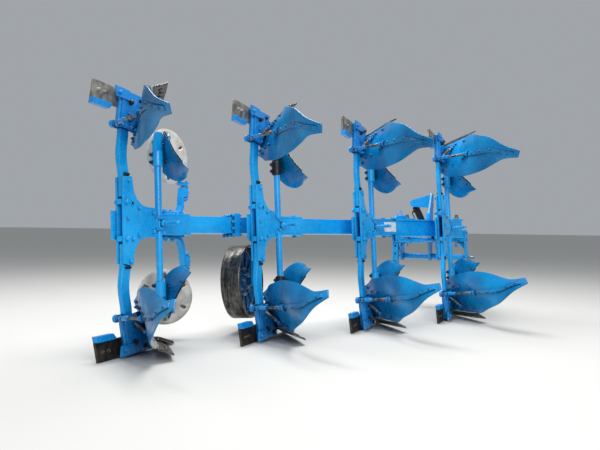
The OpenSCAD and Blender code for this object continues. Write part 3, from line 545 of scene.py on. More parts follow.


# Thin enamel on the sheet's back: painted darker than the frame's as painted shade, chipped dark at the
# edges, with painted shade and grime in corners
board_back_painted_shade, tree, place = new_material("board_back_enamel_with_painted_shade")
coat = blend_colour(tree, clouds(tree, place, 260, 0.35, 0.65), "#0067A0", "#048AC8")
coat = blend_colour(tree, clouds(tree, place, 55, 0.56, 0.8, 0.0, 0.15, detail=8.0), coat, "#3F98C2")
edge, rounded = worn_edges(tree, 6)
coat = blend_colour(tree, product(tree, edge, clouds(tree, place, 20, 0.25, 0.5)), coat, "#1D2327")
coat = blend_colour(tree, clouds(tree, place, 7, 0.7, 0.75, 0.0, 0.8), coat, "#C7D9E4")
coat = blend_colour(tree, corner_shade_and_grime(tree, place, 40, 0.9), coat, "#0A2436")
close(tree, add(tree, "ShaderNodeBsdfPrincipled", {"Specular IOR Level": 0.3},
                {"Base Color": coat, "Roughness": clouds(tree, place, 50, 0.3, 0.8, 0.2, 0.45, detail=7.0),
                 "Normal": relief(tree, place, 6, 0.5, 0.12, rounded)}))
# Soil-polished steel with rests of paint. Scratches run along the furrow slice, some 250 mm long; real
# ones are too fine to show, so these are drawn 6 mm wide.
polished, tree, place = new_material("soil_polished_steel")
stretch = add(tree, "ShaderNodeMapping", {"Rotation": (0, 0, 0.9), "Scale": (4, 160, 60)}, {"Vector": place})
scratches = add(tree, "ShaderNodeTexNoise", {"Scale": 1.0, "Detail": 5.0},
                {"Vector": stretch.outputs["Vector"]})
tone = blend_colour(tree, scratches.outputs["Fac"], "#8E8C88", "#C4C3C0")
tone = blend_colour(tree, clouds(tree, place, 160, 0.52, 0.6, 0.0, 0.75, detail=8.0), tone, "#2A7DBE")
tone = blend_colour(tree, clouds(tree, place, 60, 0.62, 0.75, 0.0, 0.5, detail=8.0), tone, "#7A5B42")
rub = add(tree, "ShaderNodeMapRange", {"To Min": 0.22, "To Max": 0.5}, {"Value": scratches.outputs["Fac"]})
dent = add(tree, "ShaderNodeBump", {"Strength": 0.15, "Distance": 0.0005},
           {"Height": scratches.outputs["Fac"]})
close(tree, add(tree, "ShaderNodeBsdfPrincipled", {"Metallic": 0.9},
                {"Base Color": tone, "Roughness": rub.outputs["Result"], "Normal": dent.outputs["Normal"]}))
# Bolts of the board: where they sit along its rows and up its height
BOARD_BOLTS = [
    (0.35, 0.2), (0.35, 0.5), (0.35, 0.8), (1.1, 0.12), (1.1, 0.85), (2.3, 0.1), (3.3, 0.1), (4.3, 0.1),
    (4.6, 0.5), (5.4, 0.46), (6.2, 0.44), (7.0, 0.42), (7.7, 0.45), (8.3, 0.5), (3.2, 0.62), (2.2, 0.66)
]
RAIL_START = 4.2
RAIL_LENGTH = 4.4
for number in (1, 2, 3, 4):
    bm = bmesh.new()
    for upper in (False, True):
        pressed_sheet(bm, foot(number, upper), BOARD_ROWS, BOARD_THICK * BACKWARD, 24, 54)
    make_piece(f"moldboard_pressings_{number}", bm, "plough_frame", board_back_painted_shade, 1.2,
               (f"moldboards_{number}",), polished)
    bm = bmesh.new()
    for upper in (False, True):
        place = foot(number, upper)
        for u, v in BOARD_BOLTS:
            at = sheet_point(BOARD_ROWS, u, v)
            hex_bolt(bm, place, at + BOARD_THICK * BACKWARD, BACKWARD, 10, 6)
            turned(bm, place @ facing(at, -BACKWARD), [(0, -1), (10, -1), (9, 1.2), (0, 1.2)], 16)
    make_piece(f"moldboard_bolts_{number}", bm, "plough_frame", board_back_painted_shade, 0.6)
    # The rail that stiffens the board's tail, bent to its back, runs between these rows
    bm = bmesh.new()
    for upper in (False, True):
        place = foot(number, upper)
        rings = []
        for u in [RAIL_START + RAIL_LENGTH * k / 16 for k in range(17)]:
            v = 0.5 - 0.03 * math.sin(math.pi * (u - RAIL_START) / RAIL_LENGTH)
            middle = sheet_point(BOARD_ROWS, u, v)
            rise = (sheet_point(BOARD_ROWS, u, v + 0.05) - sheet_point(BOARD_ROWS, u, v - 0.05)).normalized()
            corners = [middle + w * rise + t * BACKWARD for w, t in ((-17, 7), (17, 7), (17, 16), (-17, 16))]
            rings.append([bm.verts.new(place @ c) for c in corners])
        skin(bm, rings)
    make_piece(f"tail_rails_{number}", bm, "plough_frame", board_back_painted_shade, 1)

# Stays: dull zinc-coated rods between the frog and the board's back, with an eye at the lug behind the
# leg, rusty thread and double nuts at the board's end, and a turnbuckle sleeve near the lug.
# Rolled thread with a film of rust: brown to grey, dull
thread_steel, tree, place = new_material("rusty_thread_steel")
tone = blend_colour(tree, clouds(tree, place, 12, 0.35, 0.65, detail=6.0), "#4B3A2E", "#8B8178")
close(tree, add(tree, "ShaderNodeBsdfPrincipled", {"Metallic": 0.6},
                {"Base Color": tone, "Roughness": clouds(tree, place, 10, 0.3, 0.7, 0.4, 0.7)}))
# Zinc-coated rod: grey and satin where it is clear, dark blue where old paint and dirt cover it, near black
# with painted shade and grime in corners
rod_zinc, tree, place = new_material("dull_zinc_rod")
tone = blend_colour(tree, clouds(tree, place, 30, 0.4, 0.65, detail=7.0), "#1F3A4E", "#8D979C")
tone = blend_colour(tree, corner_shade_and_grime(tree, place, 40, 0.8), tone, "#14191C")
close(tree, add(tree, "ShaderNodeBsdfPrincipled", {"Metallic": 0.6},
                {"Base Color": tone, "Roughness": clouds(tree, place, 15, 0.3, 0.7, 0.25, 0.5)}))
dress("board_stays", rod_zinc, 0)
for number in (1, 2, 3, 4):
    nuts, threads = bmesh.new(), bmesh.new()
    for upper in (False, True):
        place = foot(number, upper)
        for start, u, v in (((-4, -62, 240), 5, 0.47), ((30, 40, 205), 3, 0.12)):
            start = Vector(start)
            end = sheet_point(BOARD_ROWS, u, v) + (BOARD_THICK + 1) * BACKWARD
            length = (end - start).length
            rod = place @ facing(start, end - start)
            for at, size in ((length - 30, 19), (length - 58, 17)):
                turned(nuts, rod, [(11, at), (size, at), (size, at + 15), (11, at + 15)], 6, closed=True)
            at = length - 12
            turned(nuts, rod, [(11, at), (24, at), (24, at + 5), (11, at + 5)], 24, closed=True)
            at = length - 110
            thread = [(12.4 - (k % 2) * 1.1, at + 3 + 3 * k) for k in range(16)]
            turned(threads, rod, [(11.6, at)] + thread + [(11.2, at + 52), (11.2, at)], 16)
            if length > 200:
                turned(nuts, rod, [(11, 60), (15, 64), (15, 134), (11, 138)], 20)
                turned(nuts, rod, [(11, 34), (19, 34), (19, 49), (11, 49)], 6, closed=True)
                eye = place @ facing(start + Vector((-20, 0, 0)), (1, 0, 0))
                turned(nuts, eye, [(12, -10), (24, -10), (26, 0), (24, 10), (12, 10)], 28, closed=True)
    make_piece(f"stay_nuts_{number}", nuts, "plough_frame", foot_enamel, 0.8)
    make_piece(f"stay_threads_{number}", threads, "plough_frame", thread_steel)

# Skimmers: a small plough on each end of a round stem. The boards are pressed sheet like the big
# ones; a dark share lies along each lower edge, and a welded holder clamps them to the stem. The
# second pair's holders are black castings.
SKIMMER_ROWS = [
    ((8, 74, -146), (8, 56, 142), 2), ((74, 22, -80), (51, 80, 186), 10),
    ((146, -28, 12), (112, 92, 210), 16), ((228, -58, 100), (166, 82, 198), 12),
    ((286, -64, 160), (215, 44, 168), 0)
]
SKIMMER_THICK = Vector((-3.6, -4.5, 0.6))
SHARE_TOP = 0.22
STEM_Y = 373
STEM_HALF = 500
dress("skimmer_stems", enamel, 0)
for number in (1, 2, 3, 4):
    ends = [station(number, upper) @ Matrix.Translation((0, STEM_Y, -STEM_HALF)) for upper in (False, True)]
    bm = bmesh.new()
    for place in ends:
        pressed_sheet(bm, place, SKIMMER_ROWS, SKIMMER_THICK, 16, 32)
    make_piece(f"skimmer_pressings_{number}", bm, "plough_frame", board_back_painted_shade, 0.8,
               ("skimmer_boards",), polished)
    bm = bmesh.new()
    for place in ends:
        rings = []
        for k in range(17):
            u = 3.1 * k / 16
            low, high = (sheet_point(SKIMMER_ROWS, u, v) for v in (0, SHARE_TOP))
            tip = low + (low - high) * SHARE_TOP
            rings.append([bm.verts.new(place @ (p + t * Vector((0.6, 0.75, -0.1))))
                          for p, t in ((tip, 1), (high, 1), (high, 7), (tip, 3))])
        skin(bm, rings)
    make_piece(f"skimmer_shares_{number}", bm, "plough_frame", share_steel, 0.5)
    bm = bmesh.new()
    for place in ends:
        prism(bm, place, [(-31, 112), (29, 112), (29, 94), (58, 84), (58, -122), (46, -135), (4, -135),
                          (-8, -120), (-31, -40)], -20, 11)
        turned(bm, place, [(23.2, 4), (36, 4), (36, 108), (23.2, 108)], 32, closed=True)
        block(bm, place, (-33, -36, 14), (-20, 22, 44))
        block(bm, place, (-33, -36, 66), (-20, 22, 96))
        prism(bm, place, [(-20, 66), (64, 74), (64, 58), (-20, 50)], -110, -84, axis=2)
        prism(bm, place, [(-20, 66), (84, 92), (84, 78), (-20, 50)], 40, 70, axis=2)
    make_piece(f"skimmer_holders_{number}", bm, "plough_frame", blackened if number == 2 else enamel,
               3, ("skimmer_sockets",))
    bm = bmesh.new()
    for place in ends:
        for z in (29, 81):
            hex_bolt(bm, place, (-26, -36, z), (0, -1, 0), 11, 6)
            hex_bolt(bm, place, (-33, -8, z), (-1, 0, 0), 10)
        for z in (-100, -60):
            hex_bolt(bm, place, (-20, 30, z), (-1, 0, 0), 9, 3)
    make_piece(f"skimmer_bolts_{number}", bm, "plough_frame", blackened, 0.5)
    bm = bmesh.new()
    for place in ends:
        for u, v in ((0.35, 0.25), (0.35, 0.75), (1.0, 0.55), (2.0, 0.16), (2.8, 0.14)):
            at = sheet_point(SKIMMER_ROWS, u, v) + SKIMMER_THICK
            hex_bolt(bm, place, at, (-0.62, -0.77, 0.1), 7, 3)
    make_piece(f"skimmer_board_bolts_{number}", bm, "plough_frame", board_back_painted_shade, 0.5)

# Stem clamps: two cast jaws on the clamp plates' ends, pulled round the stem by U-bolts, with a
# turned locking pin that sticks out to the right and ends in an eye.
for number in (1, 2, 3, 4):
    place = station(number)
    bm = bmesh.new()
    block(bm, place, (-30, 297, -48), (30, 322, 48))
    jaw = [(-30, 320), (30, 320), (34, 352), (34, 384), (22, 404), (-10, 404), (-30, 380)]
    for low, high in ((-48, -26), (26, 48)):
        prism(bm, place, jaw, low, high, axis=2)
    block(bm, place, (-30, 320, -28), (-16, 352, 28))
    turned(bm, place @ facing((24, STEM_Y + 4, 0), (1, 0, 0)),
           [(0, 0), (22, 0), (22, 16), (15, 20), (15, 42), (13, 44), (13, 104), (16, 108), (16, 116),
            (0, 116)], 24)
    turned(bm, place @ facing((146, STEM_Y + 4, -9), (0, 0, 1)),
           [(9, 0), (18, 0), (20, 9), (18, 18), (9, 18)], 28, closed=True)
    make_piece(f"stem_clamps_with_pin_{number}", bm, "plough_frame", enamel, 2,
               ("stem_clamps",))
    bm = bmesh.new()
    angles = [math.pi * k / 12 for k in range(13)]
    for z in (-37, 37):
        arc = [(28 * math.cos(a), STEM_Y + 28 * math.sin(a), z) for a in angles]
        bar(bm, place, [(29, 316, z)] + arc + [(-29, 316, z)], 6, 10)
        for x in (-29, 29):
            hex_bolt(bm, place, (x, 296, z), (0, -1, 0), 9, 8)
    turned(bm, place @ facing((60, STEM_Y + 4, 16), (0, 0, 1)), [(0, -46), (4, -46), (4, 22), (0, 22)], 12)
    make_piece(f"stem_u_bolts_{number}", bm, "plough_frame", foot_enamel)

# Disc coulters at the rear station: forged arms with a swivel tube each, forks that trail freely,
# and hardened discs with six pressed hollows that keep them turning. Soil stays in the hollows.
dress("coulter_arms", enamel, 3)
dress("lower_fork", enamel, 2)
dress("upper_fork", enamel, 2)
# Hardened disc steel with a dry film of earth: pale and satin, the upper disc the paler one
disc_steel, tree, place = new_material("pale_disc_steel")
low_tone = blend_colour(tree, clouds(tree, place, 70, 0.35, 0.65, detail=7.0), "#96938F", "#BDBAB4")
high_tone = blend_colour(tree, clouds(tree, place, 70, 0.35, 0.65, detail=7.0), "#D3CBBE", "#F0EADF")
tone = blend_colour(tree, upper_half(tree, place), low_tone, high_tone)
tone = blend_colour(tree, clouds(tree, place, 28, 0.55, 0.75, 0.0, 0.6, detail=8.0), tone, "#9A8875")
tone = blend_colour(tree, clouds(tree, place, 9, 0.66, 0.75, 0.0, 0.6), tone, "#6F665D")
close(tree, add(tree, "ShaderNodeBsdfPrincipled", {"Metallic": 0.3},
                {"Base Color": tone, "Roughness": clouds(tree, place, 40, 0.3, 0.7, 0.32, 0.55),
                 "Normal": relief(tree, place, 12, 0.6, 0.15)}))
# Dried soil: brown crumbs of 5 to 7 mm, quite dull
hollow_soil, tree, place = new_material("soil_in_disc_hollows")
tone = blend_colour(tree, clouds(tree, place, 7, 0.35, 0.65, detail=6.0), "#2C2620", "#75685A")
close(tree, add(tree, "ShaderNodeBsdfPrincipled", {"Roughness": 0.75},
                {"Base Color": tone, "Normal": relief(tree, place, 5, 0.8, 0.3)}))
SWIVEL_X = -42
SWIVEL_Y = 770
TRAIL = 160
AXLE_DROP = 505
COULTER_R = 200
BORE_R = 36
BLADE_SIDES = 240
BLADE_STEPS = 48


def disc_blade(bm, hub):
    """A flat disc that thins to its rim, dished at the hub, with six pressed hollows in the soil's colour."""
    both = []
    for face in (-1, 1):
        rings, soiled = [], set()
        for s in range(BLADE_STEPS + 1):
            radius = BORE_R + (COULTER_R - BORE_R) * s / BLADE_STEPS
            half = 2.5 - 2.0 * max(0, radius - 184) / 16
            dish = 5 * math.exp(-((radius - BORE_R) / 40) ** 2)
            ring = []
            for k in range(BLADE_SIDES):
                angle = 2 * math.pi * k / BLADE_SIDES
                turn = (angle + math.pi / 6) % (math.pi / 3) - math.pi / 6
                hollow = -9 * math.exp(-((radius - 152) / 22) ** 4 - (turn * radius / 11) ** 4)
                if hollow < -5:
                    soiled.add((s, k))
                ring.append(bm.verts.new(hub @ Vector((face * half + hollow + dish, radius * math.sin(angle),
                                                       radius * math.cos(angle)))))
            rings.append(ring)
        for s in range(BLADE_STEPS):
            for k in range(BLADE_SIDES):
                n = (k + 1) % BLADE_SIDES
                made = bm.faces.new((rings[s][k], rings[s][n], rings[s + 1][n], rings[s + 1][k]))
                made.material_index = 1 if (s, k) in soiled else 0
        both.append(rings)
    for s in (0, -1):
        for k in range(BLADE_SIDES):
            n = (k + 1) % BLADE_SIDES
            bm.faces.new((both[0][s][k], both[0][s][n], both[1][s][n], both[1][s][k]))


for word, upper, yaw in (("lower", False, 46), ("upper", True, 12)):
    spot = (station(1, upper) @ Matrix.Translation((SWIVEL_X, SWIVEL_Y, 0))
            @ Matrix.Rotation(math.radians(-yaw), 4, "Z"))
    hub = spot @ Matrix.Translation((0, -TRAIL, -AXLE_DROP))
    bm = bmesh.new()
    disc_blade(bm, hub)
    make_piece(f"{word}_disc_blade", bm, f"{word}_coulter_disc", disc_steel, 0,
               (f"{word}_disc",), hollow_soil)
    bm = bmesh.new()
    for way in (-1, 1):
        turned(bm, hub @ facing((0, 0, 0), (way, 0, 0)),
               [(15.2, 0), (54, 0), (54, 9), (46, 12), (34, 14), (32, 24), (15.2, 24)], 40, closed=True)
        for k in range(5):
            angle = 2 * math.pi * k / 5
            hex_bolt(bm, hub, (way * 10, 44 * math.sin(angle), 44 * math.cos(angle)), (way, 0, 0), 6.5, 2)
    make_piece(f"{word}_disc_hub", bm, f"{word}_coulter_disc", blackened, 1)
    bm = bmesh.new()
    hex_bolt(bm, spot, (40, -TRAIL, -AXLE_DROP), (1, 0, 0), 15, 5)
    hex_bolt(bm, spot, (-51, -TRAIL, -AXLE_DROP), (-1, 0, 0), 15, 3)
    hex_bolt(bm, spot, (-51, 0, -322), (-1, 0, 0), 10)
    turned(bm, spot @ facing((0, 0, -196), (0, 0, 1)), [(0, 0), (15, 0), (15, 9), (9, 12), (0, 12)], 24)
    turned(bm, spot @ facing((18, 0, -335), (1, 0, 0)), [(0, 0), (6, 0), (6, 8), (3, 14), (0, 14)], 12)
    make_piece(f"{word}_fork_fittings", bm, f"{word}_coulter_fork", enamel, 0.8)
    bm = bmesh.new()
    place = station(1, upper)
    for y in (510, 590):
        hex_bolt(bm, place, (SWIVEL_X, y, -97), (0, 0, -1), 14, 4)
    for z in (-295, -219):
        turned(bm, place @ facing((SWIVEL_X, SWIVEL_Y, z), (0, 0, 1)),
               [(19, 0), (33, 0), (33, 4), (19, 4)], 28, closed=True)
    turned(bm, place @ facing((-13, SWIVEL_Y, -255), (1, 0, 0)),
           [(0, 0), (5, 0), (5, 8), (3, 12), (0, 12)], 12)
    make_piece(f"{word}_arm_fittings", bm, "plough_frame", enamel, 0.8)

# Depth wheel: a rolled steel rim on a pressed web with a bolted hub, on a swing arm with its pivot.
# The tread is oxidised dark and rubbed along its turning direction; web and arm are enamelled, the web in a
# worn dark blue that is painted shade.
# The rubs are 17 mm wide and some 110 mm long.
tread_steel, tree, place = new_material("dark_rolled_tread_steel")
stretch = add(tree, "ShaderNodeMapping", {"Scale": (60, 9, 9)}, {"Vector": place})
rubs = add(tree, "ShaderNodeTexNoise", {"Scale": 1.0, "Detail": 6.0, "Roughness": 0.65},
           {"Vector": stretch.outputs["Vector"]})
rubbed = add(tree, "ShaderNodeMapRange", {"From Min": 0.35, "From Max": 0.72}, {"Value": rubs.outputs["Fac"]})
tone = blend_colour(tree, rubbed.outputs["Result"], "#2A2927", "#8A8781")
tone = blend_colour(tree, clouds(tree, place, 45, 0.5, 0.64, 0.0, 0.7, detail=9.0), tone, "#26221F")
edge, rounded = worn_edges(tree, 4)
tone = blend_colour(tree, product(tree, edge, clouds(tree, place, 15, 0.3, 0.5)), tone, "#B4B2AD")
close(tree, add(tree, "ShaderNodeBsdfPrincipled", {"Metallic": 0.8},
                {"Base Color": tone, "Roughness": clouds(tree, place, 25, 0.3, 0.7, 0.25, 0.45),
                 "Normal": rounded}))
# The web's dark blue is painted shade; its chips and dust are wear
web_enamel_painted_shade = painted("wheel_web_enamel_worn_with_painted_shade", "#0A3F66", "#0D5C94", 0.2, 0.2)
dress("wheel_bracket", enamel)
dress("wheel_swing_arm", enamel, 3)
dress("wheel_disc", web_enamel_painted_shade, 1)
ARM = 423
DROP = math.radians(95)
TOE = math.radians(7)
pivot = station(2) @ Matrix.Translation((-197.53, 400, 0))
axle = (pivot @ Matrix.Translation((-119, ARM * math.cos(DROP), -ARM * math.sin(DROP)))
        @ Matrix.Rotation(TOE, 4, "Z") @ facing((0, 0, 0), (1, 0, 0)))
bm = bmesh.new()
turned(bm, axle, [(271, -75), (279, -75), (283.5, -72), (285, -66), (285, 66), (283.5, 72), (279, 75),
                  (271, 75), (271, 62), (266, 60), (266, -60), (271, -62)], 128, closed=True)
make_piece("depth_wheel_tread", bm, "depth_wheel", tread_steel, 0, ("wheel_rim",))
bm = bmesh.new()
for way in (-1, 1):
    side = axle @ facing((0, 0, 0), (0, 0, way))
    turned(bm, side, [(56, 4), (120, 4), (112, 16), (74, 20), (62, 46), (56, 46)], 64, closed=True)
    for k in range(6):
        angle = math.pi * k / 3
        hex_bolt(bm, axle, (92 * math.cos(angle), 92 * math.sin(angle), way * 17), (0, 0, way), 12, 5)
    turned(bm, side, [(236, 4), (262, 4), (262, 12), (240, 12)], 96, closed=True)
    for k in range(12):
        angle = math.pi * (k + 0.5) / 6
        spoke = axle @ Matrix.Rotation(angle, 4, "Z")
        prism(bm, spoke, [(118, way * 4), (238, way * 4), (238, way * 10), (118, way * 17)], -4, 4, axis=1)
turned(bm, axle @ facing((0, 0, 50), (0, 0, 1)),
       [(20.5, 0), (34, 0), (34, 12), (27, 18), (20.5, 18)], 32, closed=True)
make_piece("depth_wheel_hub", bm, "depth_wheel", web_enamel_painted_shade, 1)
bm = bmesh.new()
arm = pivot @ Matrix.Translation((-28, 0, 0)) @ Matrix.Rotation(-DROP, 4, "X")
turned(bm, arm @ facing((22, ARM, 0), (1, 0, 0)), [(0, 0), (30, 0), (30, 10), (22, 14), (0, 14)], 6)
for low in (-30, 20):
    prism(bm, arm, [(92, low), (366, low), (366, low + 10), (92, low + 10)], 22, 26)
turned(bm, axle @ facing((0, 0, 72), (0, 0, 1)), [(20, 0), (28, 0), (33, 19), (20, 19)], 32, closed=True)
turned(bm, axle @ facing((0, 0, -52), (0, 0, -1)), [(0, 0), (30, 0), (30, 12), (24, 16), (0, 16)], 6)
make_piece("swing_arm_fittings", bm, "wheel_arm", enamel, 1.5)
bm = bmesh.new()
turned(bm, pivot @ facing((-40, 0, 0), (-1, 0, 0)),
       [(0, 0), (34, 0), (34, 6), (26, 6), (26, 16), (0, 18)], 32)
for y in (8, 42):
    for way in (-1, 1):
        hex_bolt(bm, pivot, (22, y, way * 45), (0, 0, way), 10)
make_piece("wheel_pivot_cap", bm, "plough_frame", enamel, 1)

# Headstock: the bearing housing, the mast and the hitch frame, flame-cut and welded, enamelled.
# The housing has bolted end rings and grease nipples; the plates have gussets behind them.
for node_name in ("headstock", "hitch_frame", "hitch_tube", "stand_sleeve", "stand_leg"):
    dress(node_name, enamel, 2)
dress("tilt_spindles", enamel, 0)
HOUSING_Y = 710
HOUSING_LENGTH = 250
HITCH_Y = 890
HITCH_Z = -257
bm = bmesh.new()
for at, way in ((HOUSING_Y, -1), (HOUSING_Y + HOUSING_LENGTH, 1)):
    turned(bm, machine @ facing((0, at, 0), (0, way, 0)),
           [(52, 0), (82, 0), (82, 5), (78, 6), (52, 6)], 48, closed=True)
    for k in range(8):
        angle = math.pi * (k + 0.5) / 4
        hex_bolt(bm, machine, (68 * math.cos(angle), at + way * 6, 68 * math.sin(angle)), (0, way, 0), 7)
for y in (HOUSING_Y + 60, HOUSING_Y + 190):
    turned(bm, machine @ facing((0, y, 87), (0, 0, 1)),
           [(0, 0), (6, 0), (6, 6), (3.5, 9), (3.5, 15), (0, 17)], 12)
make_piece("housing_end_rings", bm, "headstock", enamel, 0.8)
bm = bmesh.new()
for side in (-1, 1):
    for y in (750, 826):
        prism(bm, machine, [(side * 47, 12), (side * 150, 12), (side * 47, 78)], y, y + 10, axis=1)
    prism(bm, machine, [(side * 320, -106), (side * 250, -106), (side * 320, -176)], 770, 782, axis=1)
    for y, z in ((HITCH_Y + 18, 150), (HITCH_Y + 18, 60), (HITCH_Y - 6, -180)):
        hex_bolt(bm, machine, (side * 47, y, z), (side, 0, 0), 11, 4)
    for y, z in ((752, -10), (752, -84), (806, -84)):
        hex_bolt(bm, machine, (side * 340, y, z), (side, 0, 0), 12, 4)
    turned(bm, machine @ facing((side * 340, HITCH_Y, HITCH_Z), (side, 0, 0)),
           [(14, 0), (44, 0), (44, 6), (38, 10), (14, 10)], 40, closed=True)
    for z in (353, 278):
        turned(bm, machine @ facing((side * 47, 907, z), (side, 0, 0)),
               [(12.9, 0), (30, 0), (30, 5), (12.9, 5)], 36, closed=True)
make_piece("headstock_fittings", bm, "headstock", enamel, 1.2)

# Hitch pins: turned steel, worn bright where the lower links ride, each with a linch pin and ring.
# The turnover axle is turned steel as well, blackened and oiled.
dress("turnover_axle", blackened, 2)
# Turned steel, bare: grey in patches of 25 mm and brighter where it is rubbed
pin_steel, tree, place = new_material("worn_pin_steel")
tone = blend_colour(tree, clouds(tree, place, 25, 0.35, 0.7, detail=6.0), "#6E6B67", "#BDBAB4")
close(tree, add(tree, "ShaderNodeBsdfPrincipled", {"Metallic": 1.0},
                {"Base Color": tone, "Roughness": clouds(tree, place, 12, 0.3, 0.7, 0.25, 0.5)}))
bm = bmesh.new()
for side in (-1, 1):
    linch_x = side * 400
    turned(bm, machine @ facing((side * 350, HITCH_Y, HITCH_Z), (side, 0, 0)),
           [(14.1, 0), (14.3, 2), (14.3, 54), (14.1, 56)], 32, closed=True)
    turned(bm, machine @ facing((linch_x, HITCH_Y, HITCH_Z - 24), (0, 0, 1)),
           [(0, 0), (4, 2), (4, 46), (7, 48), (7, 54), (0, 56)], 14)
    ring = [(linch_x, HITCH_Y + 18 * math.sin(a), HITCH_Z + 22 + 18 * math.cos(a))
            for a in [2 * math.pi * k / 24 for k in range(25)]]
    bar(bm, machine, ring, 1.8, 8)
make_piece("linch_pins", bm, "headstock", pin_steel, 0.4)

# Tilt spindles: steel rods with rolled threads, two lock nuts and a hexagon head each. They stand on
# the hitch frame at both sides of the housing.
bm = bmesh.new()
for side in (-1, 1):
    spot = machine @ Matrix.Translation((side * 250, 711, 0))
    thread = [(15.6 - (k % 2) * 1.8, -158 + 3 * k) for k in range(48)]
    turned(bm, spot, [(14, -160)] + thread + [(14, -14)], 20)
    for z in (-66, 12):
        turned(bm, spot, [(15, z), (27, z), (27, z + 20), (15, z + 20)], 6, closed=True)
    turned(bm, spot, [(19, 120), (24, 120), (24, 140), (16, 142), (16, 164), (0, 166)], 6)
make_piece("spindle_threads", bm, "headstock", thread_steel)

# Parking stand: square tube in its sleeve, enamelled like the frame, with a row of pin holes drawn as thin
# dark discs of painted shade, a locking pin and a foot plate. The discs are thin enough to slide in the
# sleeve.
stand = machine @ Matrix.Translation((-378.5, 780, 0))
HOLE_SHADE = 0.03
bm = bmesh.new()
for z in range(-560, 100, 80):
    if z < -130 or z > 50:
        for way in (-1, 1):
            turned(bm, stand @ facing((0, way * 30, z), (0, way, 0)),
                   [(0, 0), (11, 0), (11, HOLE_SHADE), (0, HOLE_SHADE)], 24)
# Dark discs of painted shade that stand for the pin holes
make_piece("stand_pin_hole_painted_shade", bm, "parking_stand", blackened)
bm = bmesh.new()
for x in (-1, 1):
    for y in (-1, 1):
        prism(bm, stand, [(x * 30, -790), (x * 66, -790), (x * 30, -740)], y * 14 - 4, y * 14 + 4, axis=1)
make_piece("stand_foot_ribs", bm, "parking_stand", enamel, 0.8)
bm = bmesh.new()
turned(bm, stand @ facing((0, -60, -40), (0, 1, 0)), [(0, 0), (9, 2), (9, 120), (0, 122)], 20)
bar(bm, stand, [(0, -54, -40), (26, -58, -40), (34, -58, -52), (34, -58, -96)], 5, 10)
for z in (-126, 44):
    block(bm, stand, (-44, -44, z), (44, -38.2, z + 12))
    block(bm, stand, (-44, 38.2, z), (44, 44, z + 12))
    block(bm, stand, (-44, -44, z), (-38.2, 44, z + 12))
make_piece("stand_locking_pin", bm, "headstock", pin_steel, 0.6)

# Turnover cylinder: black barrel with an eight-sided nut at each end, two ports and their steel pipe, and
# a rod that is ground and chromed, which makes it the brightest piece.
chrome, tree, place = new_material("chromed_rod_steel")
close(tree, add(tree, "ShaderNodeBsdfPrincipled", {"Metallic": 1.0, "Base Color": linear("#D5D8DB")},
                {"Roughness": clouds(tree, place, 30, 0.3, 0.7, 0.08, 0.2)}))
dress("cylinder_barrel", blackened, 1.5)
dress("cylinder_rod", chrome, 0.5)
ANCHOR = (-250, 300)
EYE_Y = HOUSING_Y + HOUSING_LENGTH + 53
CRANK_R = 100
CRANK = math.atan2(ANCHOR[0], ANCHOR[1]) - math.radians(90 + FRAME_LEAN)
rod_turn = math.atan2(CRANK_R * math.sin(CRANK) - ANCHOR[0], ANCHOR[1] - CRANK_R * math.cos(CRANK))
barrel = machine @ Matrix.Translation((ANCHOR[0], EYE_Y, ANCHOR[1])) @ Matrix.Rotation(-rod_turn, 4, "Y")
bm = bmesh.new()
turned(bm, barrel @ facing((0, 0, -235), (0, 0, 1)),
       [(30, 0), (37.8, 0), (37.8, 22), (30, 24)], 8, closed=True)
turned(bm, barrel @ facing((0, 0, -62), (0, 0, 1)),
       [(30, 0), (37.8, 2), (37.8, 18), (30, 20)], 8, closed=True)
for z in (-208, -74):
    turned(bm, barrel @ facing((-33, 0, z), (-1, 0, 0)),
           [(0, 0), (12, 0), (12, 12), (8, 12), (8, 22), (0, 22)], 6)
pipe = [(-50, 0, -208), (-58, 0, -203), (-60, 0, -194), (-60, 0, -88), (-58, 0, -79), (-50, 0, -74)]
bar(bm, barrel, pipe, 5, 10)
make_piece("barrel_fittings", bm, "turnover_barrel", blackened, 0.6)

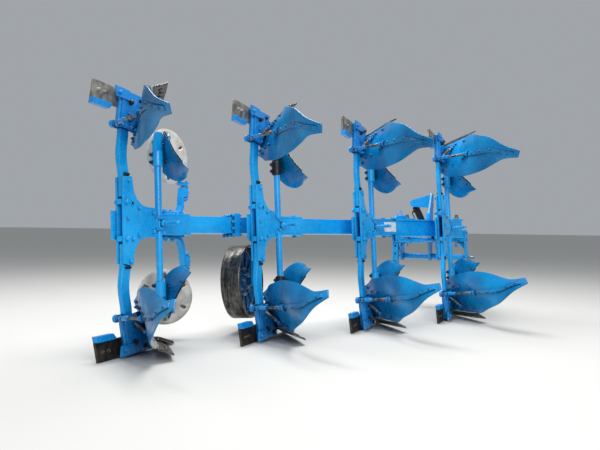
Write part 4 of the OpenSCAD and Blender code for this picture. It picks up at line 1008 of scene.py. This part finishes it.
# Floor and light: a plain pale floor, one wide softbox overhead and a fill from behind the camera.
floor_data = bpy.data.meshes.new("pale_floor")
floor_data.from_pydata([(-150, -150, 0), (150, -150, 0), (150, 150, 0), (-150, 150, 0)], [], [(0, 1, 2, 3)])
floor = bpy.data.objects.new("pale_floor", floor_data)
bpy.context.scene.collection.objects.link(floor)
# Floated screed, even and matt
screed, tree, place = new_material("pale_floor_screed")
close(tree, add(tree, "ShaderNodeBsdfPrincipled", {"Base Color": linear("#C9C8C4"), "Roughness": 0.8}))
floor_data.materials.append(screed)

world = bpy.data.worlds.new("soft_studio")
world.use_nodes = True
world.node_tree.nodes["Background"].inputs["Color"].default_value = linear("#E6ECF2")
world.node_tree.nodes["Background"].inputs["Strength"].default_value = 0.45
bpy.context.scene.world = world


def softbox(name, location, target, size, power):
    """A square area light that faces the target."""
    data = bpy.data.lights.new(name, "AREA")
    data.size = size
    data.energy = power
    lamp = bpy.data.objects.new(name, data)
    lamp.location = location
    lamp.rotation_euler = (Vector(target) - Vector(location)).to_track_quat("-Z", "Y").to_euler()
    bpy.context.scene.collection.objects.link(lamp)


softbox("overhead_softbox", (-1.0, 0.5, 6.5), (0, 0, 0.8), 5.0, 700)
softbox("camera_side_fill", (4.5, -6.0, 3.5), (0, 0, 0.8), 3.0, 300)

# Camera: at the photograph's place, to the right of the plough and behind it, 0.8 m above the floor.
azimuth, tilt, roll = math.radians(22.5), math.radians(0.262), math.radians(0.706)
ahead = Vector((-math.sin(azimuth) * math.cos(tilt), math.cos(azimuth) * math.cos(tilt), math.sin(tilt)))
across = Vector((math.cos(azimuth), math.sin(azimuth), 0))
above = across.cross(ahead)
camera_data = bpy.data.cameras.new("camera")
camera_data.sensor_width = 36
camera_data.lens = 668 / 600 * 36
camera = bpy.data.objects.new("camera", camera_data)
side = across * math.cos(roll) + above * math.sin(roll)
top = above * math.cos(roll) - across * math.sin(roll)
turn = Matrix((side, top, -ahead)).transposed().to_4x4()
turn.translation = Vector((1.615, -4.9645, 0.810))
camera.matrix_world = turn
bpy.context.scene.collection.objects.link(camera)
bpy.context.scene.camera = camera
bpy.context.scene.view_settings.view_transform = "Standard"
